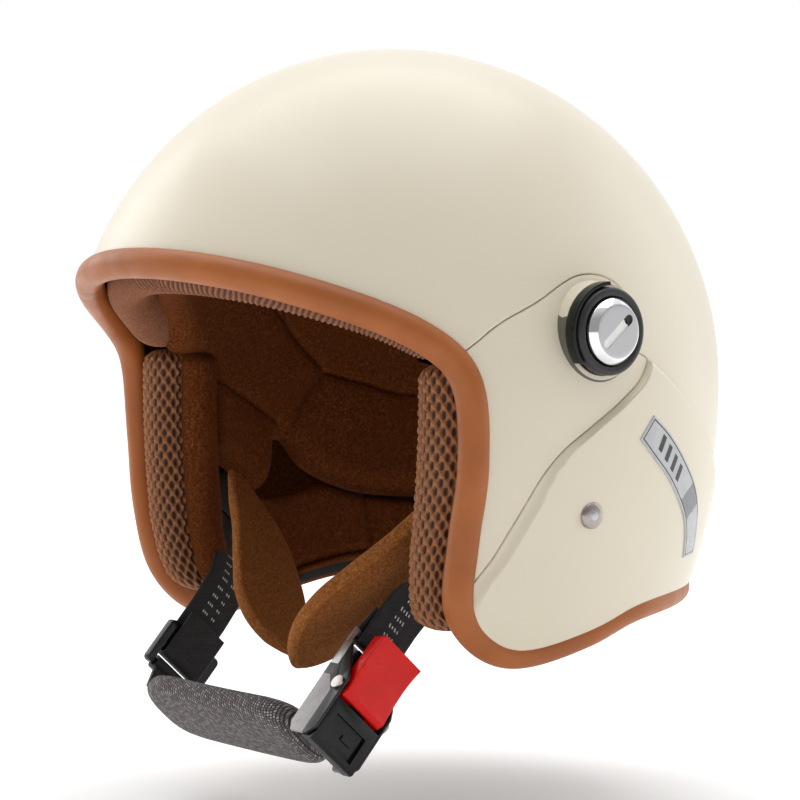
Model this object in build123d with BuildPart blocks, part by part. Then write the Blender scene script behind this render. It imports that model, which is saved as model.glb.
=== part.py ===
"""Open face motorcycle helmet, as an assembly of separate pieces.

Millimetres. The front of the helmet faces -Y, the wearer's left is +X and up is +Z. The origin is
the centre of the head cavity, on the helmet's middle plane, at the widest section of the shell.
"""
import math
import os

from build123d import *

os.makedirs("parts", exist_ok=True)

# ---- driving dimensions -----------------------------------------------------------------------
HALF_WIDTH = 125.0          # shell, middle plane to its widest point
FRONT_REACH = 137.0         # shell, origin to its foremost point
REAR_REACH = 143.0          # shell, origin to its rearmost point
CROWN_RISE = 138.0          # shell, origin to its top
LOWER_DROP = 182.0          # depth that the lower half would have if the shell were closed
SHELL_WALL = 4.0
BAND_RISE = 2.5             # raised lower band above the shell
PLATE_DEPTH = 2.0           # side plates let into the shell
SEAM_GAP = 0.35             # gap round each side plate
FOAM_INNER = 26.0           # inner face of the impact liner, below the shell's outer face
CLOTH_INNER = 38.0          # inner face of the comfort liner, below the shell's outer face
FIT_GAP = 0.3               # clearance between neighbouring layers
BEAD_HALF = 6.0             # half width of the edge trim
BEAD_PROUD = 4.0            # edge trim outside the shell
BEAD_DEPTH = 8.0            # edge trim inside the shell's outer face
REACH = 200.0               # long enough to cut right through the helmet

PIVOT_Y, PIVOT_Z = 1.9, 24.8        # visor pivot axis, parallel to X
BOSS_RADIUS, BOSS_FACE = 19.0, 125.6
COLLAR_RADIUS, COLLAR_BORE = 16.75, 13.2
CAP_RADIUS, CAP_FACE_RADIUS, CAP_TOP = 12.85, 10.5, 134.5
SHANK_RADIUS, RUNNING_GAP = 5.8, 0.08
COIN_SLOT = (17.0, 3.0, 2.0)        # length, width, depth
COIN_SLOT_ANGLE = 50.0

RIVET_Y, RIVET_Z = -1.3, -45.3      # chin strap rivets, parallel to X
RIVET_HEAD, RIVET_SHANK = 5.25, 2.4
STRAP_TILT = 42.0                   # strap plane, forward of vertical
WEB_WIDTH, WEB_THICK = 22.0, 1.6
HANGER_X, HANGER_THICK, HANGER_SLOT = 104.8, 1.5, 20.0

FRAME_X = 53.6                      # inner face of the buckle frame
FRAME_HALF = 13.0                   # half width inside the frame's side walls
STEEL = 1.2                         # steel thickness of the buckle frame
PIN_X, PIN_DROP, PIN_RADIUS = 66.0, 99.0, 2.0
LEVER_TOP, LEVER_HALF = 74.5, 11.6
SLIDER_X, SLIDER_TOP, CHIN_DROP = -60.0, 85.0, 104.0
LADDER_RADIUS = 119.2               # ladder tongue, an arc about the slider's lower bar
PAD_FROM, PAD_TO, PAD_TOP, PAD_THICK, PAD_WIDTH = -50.0, 50.0, 110.0, 12.0, 38.0

FLAP_HINGE_X, FLAP_HINGE_Y, FLAP_HINGE_Z = 74.5, -30.0, -37.0
FLAP_LEAN = 35.8                    # flap, inward of vertical
FLAP_THICK = 8.0
SWEEP_LEAD, SWEEP_TURN = 22.0, 66.0
FLAP_REAR = 1.6                     # the left flap's rear half is this much wider
FLAP_TURN = 2.5                     # the right flap hangs this much further forward
FLAP_SWING = 22.0                   # the left flap hangs this much further forward

# ---- outlines in side view, (y, z) -------------------------------------------------------------
RIM = [(-145, 57.9), (-127.4, 50.7), (-105.5, 41.6), (-69, 23), (-56, 9.5), (-51.6, -25),
       (-52, -55.5), (-47.7, -83), (-25.7, -99.7), (13, -94.4), (37, -87), (80, -84.5),
       (126, -86), (150, -86.8)]
BAND = [(29.3, 13.4), (25.3, 6.5), (12.7, -2.7), (-2.1, -11.7), (-15.4, -20.6), (-23.2, -29),
        (-30.5, -41.3), (-36.4, -52.7), (-40.4, -60.9), (-47.3, -72.8), (-60, -110), (150, -110),
        (150, -52), (120, -47), (100, -38), (85.7, -26.8), (78.9, -18.5), (64.5, -8.5),
        (49.1, 1.3), (36.7, 9.1)]
PLATE = [(-70, 8), (-53.7, 19.3), (-41.5, 28.1), (-23.7, 36.7), (-12.5, 42.8), (-4.7, 45.9),
         (2.8, 46.8), (10.2, 45.7), (17.3, 42), (21.7, 36), (23.5, 26), (23, 17), (29, 13)]
LABEL = [(32.5, -8), (44, -15.7), (59, -28.4), (69.9, -38.9), (74, -46), (76, -56), (66, -58),
         (63.6, -54.3), (60, -48.3), (53, -40.8), (44.9, -33.4), (32.9, -24.1), (24.4, -17)]
EAR_CUT = [(-REACH, 15), (-12, 15), (-4, -8), (42, -8), (50, -60), (46, -REACH), (-REACH, -REACH)]
CROWN_LOWER = [(-70, 14.5), (-31, 14.5), (-31, -31), (-27, -33), (-17, -40), (-10, -45.5),
               (-6, -47), (-2, -45), (2, -38), (5, -27), (14, -36), (26, -44), (43, -50),
               (70, -52), (REACH, -52)]
NECK = [(-8, -51), (3, -50), (22, -46), (36, -50.5), (50, -53.5), (70, -54.5), (150, -54.5),
        (150, -84), (78, -82), (56, -82.5), (23, -84.5), (4, -88)]


def egg(grow):
    """Solid inside the shell's outer surface, moved out by grow: four blended ellipsoid lunes."""
    lune = Rot(0, 90, 0) * Rot(0, 0, 90) * Sphere(1, arc_size3=90, align=None, mode=Mode.PRIVATE)
    quarters = [(REAR_REACH, CROWN_RISE), (FRONT_REACH, CROWN_RISE),
                (FRONT_REACH, LOWER_DROP), (REAR_REACH, LOWER_DROP)]
    lunes = [scale(Rot(90 * turn, 0, 0) * lune, mode=Mode.PRIVATE,
                   by=(HALF_WIDTH + grow, reach + grow, rise + grow))
             for turn, (reach, rise) in enumerate(quarters)]
    return lunes[0] + lunes[1] + lunes[2] + lunes[3]


def shifted(points, distance):
    """Points moved to the left of their direction of travel."""
    moved = []
    for index, (y, z) in enumerate(points):
        before = points[max(index - 1, 0)]
        after = points[min(index + 1, len(points) - 1)]
        run = math.dist(before, after)
        moved.append((y - distance * (after[1] - before[1]) / run,
                      z + distance * (after[0] - before[0]) / run))
    return moved


def rim_prism(grow):
    """Everything in front of and below the rim, reaching grow into the shell."""
    rim = shifted(RIM, grow)
    first, last = (-REACH, rim[0][1] + 0.41 * (REACH + rim[0][0])), (REACH, rim[-1][1])
    with BuildPart() as prism:
        with BuildSketch(Plane.YZ):
            with BuildLine():
                Spline(*rim)
                Line(first, rim[0])
                Polyline(rim[-1], last, (REACH, -REACH), (-REACH, -REACH), first)
            make_face()
        extrude(amount=REACH, both=True)
    return prism.part


def side_prism(points, near=-REACH, far=REACH, grow=0.0):
    """A closed side outline, grown and extruded along X from near to far."""
    with BuildPart() as prism:
        with BuildSketch(Plane.YZ.offset(near)):
            with BuildLine():
                Polyline(*points, close=True)
            make_face()
            if grow:
                offset(amount=grow, kind=Kind.INTERSECTION)
        extrude(amount=far - near)
    return prism.part


def rod(radius, near, far, y=PIVOT_Y, z=PIVOT_Z):
    """A cylinder parallel to X."""
    return Pos(near, y, z) * Rot(0, 90, 0) * Cylinder(
        radius, far - near, align=(Align.CENTER, Align.CENTER, Align.MIN), mode=Mode.PRIVATE)


def mirrored(piece):
    """The same piece on the wearer's right."""
    with BuildPart() as other:
        mirror(piece.part, about=Plane.YZ)
    return other


# ---- shell, band and side plates ---------------------------------------------------------------
OUTER = egg(0)
WALL_INNER = egg(-SHELL_WALL)
BAND_OUTER = egg(BAND_RISE)
LINER_OUTER = egg(-SHELL_WALL - FIT_GAP)
FOAM_FACE = egg(-FOAM_INNER)
CLOTH_OUTER = egg(-FOAM_INNER - FIT_GAP)
CLOTH_FACE = egg(-CLOTH_INNER)
RIM_OPENING = rim_prism(0)
PLATE_INNER = egg(-PLATE_DEPTH)
PLATE_OUTLINE = PLATE + BAND[1:10] + [(-62, -90)]
TRIM_CLEAR = rim_prism(BEAD_HALF + FIT_GAP)

with BuildPart() as side_plate_left:
    add(OUTER)
    add(side_prism(PLATE_OUTLINE, near=20, grow=-SEAM_GAP), mode=Mode.INTERSECT)
    add(TRIM_CLEAR, mode=Mode.SUBTRACT)
    add(rod(BOSS_RADIUS, 118, BOSS_FACE))
    add(PLATE_INNER, mode=Mode.SUBTRACT)
    add(rod(SHANK_RADIUS + 0.6, 100, 140), mode=Mode.SUBTRACT)
side_plate_right = mirrored(side_plate_left)

with BuildPart() as plate_recess:
    add(side_prism(PLATE_OUTLINE, near=20))
    add(PLATE_INNER, mode=Mode.SUBTRACT)

with BuildPart() as outer_shell:
    add(BAND_OUTER)
    add(side_prism(BAND), mode=Mode.INTERSECT)
    add(TRIM_CLEAR, mode=Mode.SUBTRACT)
    add(OUTER)
    add(WALL_INNER, mode=Mode.SUBTRACT)
    add(RIM_OPENING, mode=Mode.SUBTRACT)
    for recess in (plate_recess, mirrored(plate_recess)):
        add(recess.part, mode=Mode.SUBTRACT)
    add(rod(SHANK_RADIUS + 0.6, -REACH, REACH), mode=Mode.SUBTRACT)
    add(rod(RIVET_SHANK + 0.2, -REACH, REACH, RIVET_Y, RIVET_Z), mode=Mode.SUBTRACT)

with BuildPart() as edge_trim:
    add(egg(BEAD_PROUD))
    add(rim_prism(BEAD_HALF), mode=Mode.INTERSECT)
    add(rim_prism(-BEAD_HALF), mode=Mode.SUBTRACT)
    add(egg(-BEAD_DEPTH), mode=Mode.SUBTRACT)
    add(outer_shell.part, mode=Mode.SUBTRACT)


# ---- chin strap, in its own plane: x to the wearer's left, y down the strap, z across its width --
TILT = math.radians(STRAP_TILT)
STRAP = Plane(origin=(0, RIVET_Y, RIVET_Z), x_dir=(1, 0, 0),
              z_dir=(0, math.cos(TILT), -math.sin(TILT)))


def strap_box(x_range, drop_range, half_width, across=0.0):
    """A box between two places along x and along the strap, centred across it."""
    with BuildPart() as block:
        with BuildSketch(STRAP.offset(across)):
            Polygon((x_range[0], drop_range[0]), (x_range[1], drop_range[0]),
                    (x_range[1], drop_range[1]), (x_range[0], drop_range[1]), align=None)
        extrude(amount=half_width, both=True)
    return block.part


def strap_rod(x, drop, radius, half_width, across=0.0):
    """A cylinder across the strap."""
    with BuildPart() as round_bar:
        with BuildSketch(STRAP.offset(across)):
            with Locations((x, drop)):
                Circle(radius)
        extrude(amount=half_width, both=True)
    return round_bar.part


def ribbon(runs, half_width, thickness=WEB_THICK):
    """Flat strap: each run is its points and the radii of its corners, and runs meet end to end."""
    with BuildPart() as band:
        with BuildSketch(STRAP):
            for points, radii in runs:
                with BuildLine() as centre_line:
                    FilletPolyline(*points, radius=radii)
                trace(centre_line.line, line_width=thickness)
        extrude(amount=half_width, both=True)
    return band.part


def hanger_loop(side):
    """Short leg of webbing, from the stitching to the middle of the hanger's slot."""
    points = [(86, 36.3), (98, 29.9), (107.9, 27), (107.9, HANGER_SLOT), (105.5, HANGER_SLOT)]
    return [(side * x, drop) for x, drop in points], [4, 2, 1.6]


def strap_sweep(side):
    """The space that the upper webbing takes as the strap swings back."""
    with BuildPart() as space:
        with BuildSketch(STRAP):
            with BuildLine():
                Polyline((side * 118, 20), (side * 104, 26), (side * 72, 43), (side * 65, 54),
                         (side * 58, 80))
            trace(line_width=7)
        revolve(axis=Axis((0, RIVET_Y, RIVET_Z), (1, 0, 0)), revolution_arc=SWEEP_TURN)
    return space.part.rotate(Axis((0, RIVET_Y, RIVET_Z), (1, 0, 0)), -SWEEP_LEAD)


# ---- linings ----------------------------------------------------------------------------------
with BuildPart() as impact_liner:
    add(LINER_OUTER)
    add(FOAM_FACE, mode=Mode.SUBTRACT)
    add(rim_prism(BEAD_HALF + 3), mode=Mode.SUBTRACT)
    add(side_prism(EAR_CUT), mode=Mode.SUBTRACT)
    add(rod(9.5, -REACH, REACH), mode=Mode.SUBTRACT)

with BuildPart() as crown_liner:
    add(CLOTH_OUTER)
    add(CLOTH_FACE, mode=Mode.SUBTRACT)
    add(rim_prism(BEAD_HALF + 3), mode=Mode.SUBTRACT)
    add(side_prism(CROWN_LOWER + [(REACH, -REACH), (-REACH, -REACH), (-REACH, 14.5)]),
        mode=Mode.SUBTRACT)

with BuildPart() as neck_pad:
    add(CLOTH_OUTER)
    add(side_prism(NECK), mode=Mode.INTERSECT)
    add(CLOTH_FACE, mode=Mode.SUBTRACT)

with BuildPart() as brow_band:
    add(egg(-BEAD_DEPTH - FIT_GAP))
    add(side_prism([(-REACH, 16), (-40, 16), (-40, 120), (-REACH, 120)]), mode=Mode.INTERSECT)
    add(rim_prism(BEAD_HALF + 2.7), mode=Mode.INTERSECT)
    add(rim_prism(-9), mode=Mode.SUBTRACT)
    add(FOAM_FACE, mode=Mode.SUBTRACT)


def cheek_slice(outline, height):
    """A plan outline of a cheek piece, drawn in with the shell as it goes down."""
    narrow = math.sqrt(1 - (min(height, 0) / LOWER_DROP) ** 2)
    with BuildSketch(Plane.XY.offset(height)) as plan:
        with BuildLine():
            Polyline(*[(x * narrow, y) for x, y in outline], close=True)
        make_face()
    return plan.sketch


def cheek_solid(outline, heights):
    """Ruled solid through the same plan outline at several heights."""
    with BuildPart() as solid:
        loft([cheek_slice(outline, height) for height in heights], ruled=True)
    return solid.part


SNAP_PLACES = [(-36.3, -8), (-36.3, -34)]
with BuildPart() as snap_left:
    for y, z in SNAP_PLACES:
        add(rod(4.5, 101, 125, y, z))
        add(rod(2.5, 98, 125, y, z))
    add(LINER_OUTER, mode=Mode.INTERSECT)
    add(egg(-SHELL_WALL - FIT_GAP - 5), mode=Mode.SUBTRACT)

with BuildPart() as liner_snaps:
    add(snap_left.part)
    mirror(snap_left.part, about=Plane.YZ)

with BuildPart() as cheek_pad_left:
    add(cheek_solid([(84, -49), (76.5, -43.5), (77, -38), (82, -31.5), (116, -31.5),
                     (116, -41.5), (87, -41.5)], (13.5, -20, -50, -70, -86)))
    add(egg(-SHELL_WALL - FIT_GAP - 0.3), mode=Mode.INTERSECT)
    add(TRIM_CLEAR, mode=Mode.SUBTRACT)
    for y, z in SNAP_PLACES:
        add(rod(4.8, 96, 125, y, z), mode=Mode.SUBTRACT)
    add(strap_sweep(1), mode=Mode.SUBTRACT)
cheek_pad_right = mirrored(cheek_pad_left)

with BuildPart() as cheek_mesh_left:
    add(cheek_solid([(84.7, -49.4), (88, -52), (97, -53), (105, -50.5), (107, -41.8),
                     (87.4, -41.8)], (12, -20, -50, -70, -84)))
    add(egg(-BEAD_DEPTH - FIT_GAP), mode=Mode.INTERSECT)
cheek_mesh_right = mirrored(cheek_mesh_left)

# ---- visor pivots -----------------------------------------------------------------------------
with BuildPart() as visor_base_left:
    add(rod(17, BOSS_FACE, BOSS_FACE + 0.9))
    with BuildSketch(Plane.YZ.offset(BOSS_FACE)) as crescent:
        with Locations((PIVOT_Y, PIVOT_Z)):
            Circle(BOSS_RADIUS)
            Circle(COLLAR_RADIUS + 0.7, mode=Mode.SUBTRACT)
            Rectangle(40, 40, align=(Align.MIN, Align.CENTER), mode=Mode.SUBTRACT)
        with Locations((PIVOT_Y, PIVOT_Z - 12)):
            Rectangle(50, 10, align=(Align.CENTER, Align.MAX), mode=Mode.SUBTRACT)
    extrude(amount=4.6)
    with BuildSketch(Plane.YZ.offset(BOSS_FACE)) as root:
        with Locations((PIVOT_Y, PIVOT_Z)):
            Circle(BOSS_RADIUS)
            Rectangle(40, 40, align=(Align.MIN, Align.CENTER), mode=Mode.SUBTRACT)
        with Locations((PIVOT_Y, PIVOT_Z - 12)):
            Rectangle(50, 10, align=(Align.CENTER, Align.MAX), mode=Mode.SUBTRACT)
    extrude(amount=0.9)
    add(rod(SHANK_RADIUS + 0.6, 100, 140), mode=Mode.SUBTRACT)
visor_base_right = mirrored(visor_base_left)

with BuildPart() as visor_collar_left:
    add(rod(COLLAR_RADIUS, BOSS_FACE + 1.1, BOSS_FACE + 5.9))
    fillet(visor_collar_left.edges().group_by(Axis.X)[-1], 1.2)
    add(rod(SHANK_RADIUS + 0.6, 100, 140), mode=Mode.SUBTRACT)
    add(rod(COLLAR_BORE, BOSS_FACE + 2.4, 140), mode=Mode.SUBTRACT)
visor_collar_right = mirrored(visor_collar_left)

with BuildPart() as visor_screw_left:
    add(rod(CAP_RADIUS, BOSS_FACE + 2.7, CAP_TOP))
    chamfer(visor_screw_left.edges().group_by(Axis.X)[-1], CAP_RADIUS - CAP_FACE_RADIUS)
    add(rod(SHANK_RADIUS, 109, BOSS_FACE + 2.7))
    with BuildSketch(Plane.YZ.offset(CAP_TOP)):
        with Locations(Location((PIVOT_Y, PIVOT_Z), -COIN_SLOT_ANGLE)):
            SlotOverall(COIN_SLOT[0], COIN_SLOT[1])
    extrude(amount=-COIN_SLOT[2], mode=Mode.SUBTRACT)
visor_screw_right = mirrored(visor_screw_left)

with BuildPart() as pivot_nut_left:
    add(rod(9, 109.5, 125))
    add(LINER_OUTER, mode=Mode.INTERSECT)
    add(rod(SHANK_RADIUS + RUNNING_GAP, 100, 140), mode=Mode.SUBTRACT)
pivot_nut_right = mirrored(pivot_nut_left)

# ---- badge plates and rivets --------------------------------------------------------------------
with BuildPart() as label_left:
    add(egg(BAND_RISE + 0.5))
    add(side_prism(LABEL, near=40), mode=Mode.INTERSECT)
    add(egg(BAND_RISE + 0.02), mode=Mode.SUBTRACT)
label_right = mirrored(label_left)

RIVET_SEAT = 123.7
with BuildPart() as strap_rivet_left:
    with BuildSketch(Plane.XY.offset(RIVET_Z)):
        with BuildLine():
            Polyline((RIVET_SEAT, RIVET_Y + RIVET_HEAD), (RIVET_SEAT - 2.2, RIVET_Y + RIVET_HEAD),
                     (RIVET_SEAT - 2.2, RIVET_Y + RIVET_SHANK), (104, RIVET_Y + RIVET_SHANK),
                     (104, RIVET_Y), (RIVET_SEAT + 2, RIVET_Y))
            ThreePointArc((RIVET_SEAT + 2, RIVET_Y), (RIVET_SEAT + 1.4, RIVET_Y + 3.2),
                          (RIVET_SEAT, RIVET_Y + RIVET_HEAD))
        make_face()
    revolve(axis=Axis((0, RIVET_Y, RIVET_Z), (1, 0, 0)))
    add(BAND_OUTER, mode=Mode.SUBTRACT)
    add(rod(4.5, 104, HANGER_X - 0.25, RIVET_Y, RIVET_Z))
    add(rod(RIVET_SHANK, 104, RIVET_SEAT + 0.5, RIVET_Y, RIVET_Z))
strap_rivet_right = mirrored(strap_rivet_left)

with BuildPart() as rivet_washer_left:
    add(rod(6.5, HANGER_X + HANGER_THICK + 0.25, 120, RIVET_Y, RIVET_Z))
    add(LINER_OUTER, mode=Mode.INTERSECT)
    add(rod(RIVET_SHANK + 0.05, 100, 130, RIVET_Y, RIVET_Z), mode=Mode.SUBTRACT)
rivet_washer_right = mirrored(rivet_washer_left)

with BuildPart() as hanger_left:
    with BuildSketch(Plane(origin=(HANGER_X, RIVET_Y, RIVET_Z), x_dir=STRAP.y_dir,
                           z_dir=(1, 0, 0))):
        Circle(8)
        with Locations((HANGER_SLOT, 0)):
            RectangleRounded(11, 32, 3)
        make_hull()
        with Locations((HANGER_SLOT, 0)):
            RectangleRounded(3.6, 25, 1.2, mode=Mode.SUBTRACT)
        Circle(RIVET_SHANK + RUNNING_GAP, mode=Mode.SUBTRACT)
    extrude(amount=HANGER_THICK)
hanger_right = mirrored(hanger_left)


with BuildPart() as webbing_left:
    down = [(105.5, HANGER_SLOT), (103.2, HANGER_SLOT), (103.2, 26.5), (57.6, 50.6), (56.4, 60),
            (56.4, 77.7), (54.2, 77.7)]
    back = [(54.2, 77.7), (52, 77.7), (52, 71), (54.1, 61.5)]
    add(ribbon([hanger_loop(1), (down, [1.6, 3, 8, 8, 1.6]), (back, [1.6, 4])],
               WEB_WIDTH / 2))

with BuildPart() as webbing_right:
    down = [(-105.5, HANGER_SLOT), (-103.2, HANGER_SLOT), (-103.2, 26.5), (-72, 43), (-64.5, 56),
            (-62.9, 72), (-62.9, 99), (-60, 99)]
    back = [(-60, 99), (-57.1, 99), (-57.1, 78)]
    add(ribbon([hanger_loop(-1), (down, [1.6, 3, 12, 8, 8, 1.6]), (back, [1.6])], WEB_WIDTH / 2))

with BuildPart() as buckle_frame:
    add(strap_box((FRAME_X, FRAME_X + STEEL), (73, 113), FRAME_HALF + STEEL))
    for side in (-1, 1):
        with BuildSketch(STRAP.offset(side * (FRAME_HALF + STEEL / 2))):
            with BuildLine():
                Polyline((FRAME_X, 80), (58, 80), (67.5, 92.5), (69.4, 96), (69.4, 119),
                         (66, 122.5), (56, 122.5), (FRAME_X, 119), close=True)
            make_face()
        extrude(amount=STEEL / 2, both=True)
    add(strap_box((50, 60), (76, 79.6), WEB_WIDTH / 2 + 0.6), mode=Mode.SUBTRACT)
    add(strap_rod(PIN_X, PIN_DROP, PIN_RADIUS, 16), mode=Mode.SUBTRACT)

with BuildPart() as buckle_cover:
    add(strap_box((62.4, 69.4), (100, 123.5), FRAME_HALF - 0.1))
    fillet(buckle_cover.edges().filter_by(Axis(STRAP.origin, STRAP.z_dir)), 1.4)
    add(strap_rod(PIN_X, PIN_DROP, 6, 16), mode=Mode.SUBTRACT)
    add(strap_box((67.9, 71), (109, 120.5), 9), mode=Mode.SUBTRACT)
    add(strap_box((67, 68.6), (113.5, 115.5), 3, across=2.5))

with BuildPart() as lever_pin:
    add(strap_rod(PIN_X, PIN_DROP, PIN_RADIUS, FRAME_HALF + STEEL + 0.1))
    for side in (-1, 1):
        add(strap_rod(PIN_X, PIN_DROP, PIN_RADIUS + 0.8, 0.6,
                      across=side * (FRAME_HALF + STEEL + 0.6)))

with BuildPart() as lever_spring:
    add(strap_rod(PIN_X, PIN_DROP, 3.3, 4))
    add(strap_rod(PIN_X, PIN_DROP, PIN_RADIUS, 5), mode=Mode.SUBTRACT)

with BuildPart() as release_lever:
    with BuildSketch(STRAP):
        with BuildLine():
            Spline((71.5, LEVER_TOP - 1), (69.4, 84), (69.6, 93), (70.3, 100))
            Polyline((70.3, 100), (68.5, 102.5), (62, 101), (61.9, 95), (61.5, 92.3), (61.5, 91.2),
                     (64, 89.5), (65, LEVER_TOP), (71.5, LEVER_TOP - 1))
        make_face()
        with Locations((PIN_X, PIN_DROP)):
            Circle(3.9)
    extrude(amount=LEVER_HALF, both=True)
    add(strap_rod(PIN_X, PIN_DROP, PIN_RADIUS + 0.06, 16), mode=Mode.SUBTRACT)
    add(strap_rod(PIN_X, PIN_DROP, 3.9, 4.5), mode=Mode.SUBTRACT)

with BuildPart() as strap_slider:
    add(strap_box((SLIDER_X - 1.6, SLIDER_X + 1.6), (SLIDER_TOP, 105.6), 15.4))
    fillet(strap_slider.edges().filter_by(Axis.X), 2)
    add(strap_box((-70, -50), (88, 94.4), 12), mode=Mode.SUBTRACT)
    add(strap_box((-70, -50), (96.6, 110), 12), mode=Mode.SUBTRACT)
    add(strap_rod(SLIDER_X, CHIN_DROP, 1.6, 12.5))

# ---- lower strap: swings on the slider's lower bar when the buckle is undone --------------------
with BuildPart() as chin_loop:
    with BuildSketch(STRAP):
        with BuildLine():
            FilletPolyline((SLIDER_X - 0.5, CHIN_DROP + 2.45), (-57, CHIN_DROP + 2.6),
                           (-53.5, 115.5), (PAD_FROM, 115.5), radius=1)
        trace(line_width=1.4)
        with Locations((SLIDER_X, CHIN_DROP)):
            Circle(3.15)
            Circle(1.7, mode=Mode.SUBTRACT)
    extrude(amount=10.5, both=True)

with BuildPart() as chin_pad:
    add(strap_box((PAD_FROM, PAD_TO), (PAD_TOP, PAD_TOP + PAD_THICK), PAD_WIDTH / 2))
    fillet(chin_pad.edges(), 4.5)

with BuildPart() as ladder_tongue:
    with BuildSketch(STRAP):
        with BuildLine():
            body = CenterArc((SLIDER_X, CHIN_DROP), LADDER_RADIUS, -11.2, 16.4)
            FilletPolyline(body @ 1, (58.3, 118), (PAD_TO, 118), radius=2)
        trace(line_width=2.2)
        for step in range(11):
            with Locations(Location((SLIDER_X, CHIN_DROP), -9.5 + 1.2 * step)):
                Polygon((LADDER_RADIUS + 1, -0.2), (LADDER_RADIUS + 2.2, 0.2),
                        (LADDER_RADIUS + 1, 1.8), align=None)
    extrude(amount=9, both=True)

# ---- ear flaps ----------------------------------------------------------------------------------
LEAF = [(-1, 2), (-6, 12), (-9, 29), (-15, 47), (-19, 61), (-18, 75), (-11, 87), (0, 94),
        (8, 87), (14, 69), (15, 54), (16, 37), (12, 19), (6, 5)]


def ear_flap(side, swing, length, rear):
    """Leaf of suede that hangs inward from its top edge, its rear half widened by rear."""
    lean = math.radians(FLAP_LEAN)
    leaf_plane = Plane(origin=(side * FLAP_HINGE_X, FLAP_HINGE_Y, FLAP_HINGE_Z), x_dir=(0, 1, 0),
                       z_dir=(-side * math.cos(lean), 0, math.sin(lean)))
    turn = math.radians(swing)
    down = leaf_plane.y_dir.Z / -abs(leaf_plane.y_dir.Z)
    with BuildPart() as flap:
        with BuildSketch(leaf_plane):
            with BuildLine():
                Spline(*[((y * math.cos(turn) - drop * math.sin(turn)) * length,
                          down * (y * math.sin(turn) + drop * math.cos(turn)) * length)
                         for y, drop in [(y * rear if y > 0 else y, drop) for y, drop in LEAF]],
                       periodic=True)
            make_face()
        extrude(amount=FLAP_THICK / 2, both=True)
    return flap


ear_flap_left = ear_flap(1, FLAP_SWING, 1.03, FLAP_REAR)
ear_flap_right = ear_flap(-1, FLAP_TURN, 1.0, 1.0)

PIECES = {
    "outer_shell": outer_shell,
    "side_plate_left": side_plate_left,
    "side_plate_right": side_plate_right,
    "edge_trim": edge_trim,
    "impact_liner": impact_liner,
    "crown_liner": crown_liner,
    "brow_band": brow_band,
    "neck_pad": neck_pad,
    "cheek_pad_left": cheek_pad_left,
    "cheek_pad_right": cheek_pad_right,
    "cheek_mesh_left": cheek_mesh_left,
    "cheek_mesh_right": cheek_mesh_right,
    "liner_snaps": liner_snaps,
    "label_left": label_left,
    "label_right": label_right,
    "visor_base_left": visor_base_left,
    "visor_base_right": visor_base_right,
    "visor_collar_left": visor_collar_left,
    "visor_collar_right": visor_collar_right,
    "visor_screw_left": visor_screw_left,
    "visor_screw_right": visor_screw_right,
    "pivot_nut_left": pivot_nut_left,
    "pivot_nut_right": pivot_nut_right,
    "strap_rivet_left": strap_rivet_left,
    "strap_rivet_right": strap_rivet_right,
    "rivet_washer_left": rivet_washer_left,
    "rivet_washer_right": rivet_washer_right,
    "hanger_left": hanger_left,
    "hanger_right": hanger_right,
    "webbing_left": webbing_left,
    "webbing_right": webbing_right,
    "buckle_frame": buckle_frame,
    "buckle_cover": buckle_cover,
    "lever_pin": lever_pin,
    "lever_spring": lever_spring,
    "release_lever": release_lever,
    "strap_slider": strap_slider,
    "chin_loop": chin_loop,
    "chin_pad": chin_pad,
    "ladder_tongue": ladder_tongue,
    "ear_flap_left": ear_flap_left,
    "ear_flap_right": ear_flap_right,
}
for name, piece in PIECES.items():
    piece.part.label = name
    export_step(piece.part, f"parts/{name}.step")
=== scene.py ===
"""Looks of the open face motorcycle helmet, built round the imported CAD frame. Shapes are worked out
in millimetres in the frame's axes and stored in metres."""
import math

import bmesh
import bpy
import numpy as np
from mathutils import Euler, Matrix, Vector
from mathutils.geometry import delaunay_2d_cdt


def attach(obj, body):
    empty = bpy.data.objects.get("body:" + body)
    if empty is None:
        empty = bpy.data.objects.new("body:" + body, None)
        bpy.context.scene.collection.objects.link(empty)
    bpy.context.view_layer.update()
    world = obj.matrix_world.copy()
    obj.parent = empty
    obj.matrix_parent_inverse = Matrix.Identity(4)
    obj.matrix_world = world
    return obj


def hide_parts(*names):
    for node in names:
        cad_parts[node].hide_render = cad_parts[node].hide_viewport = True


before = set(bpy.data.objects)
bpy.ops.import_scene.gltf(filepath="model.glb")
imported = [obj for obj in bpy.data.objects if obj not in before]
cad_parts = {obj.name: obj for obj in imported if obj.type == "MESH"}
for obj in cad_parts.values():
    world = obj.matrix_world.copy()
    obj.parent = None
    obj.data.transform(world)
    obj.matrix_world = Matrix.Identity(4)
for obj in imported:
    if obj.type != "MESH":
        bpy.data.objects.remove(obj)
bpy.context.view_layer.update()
MM = 0.001
MIRROR = (-1, 1, 1)

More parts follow.
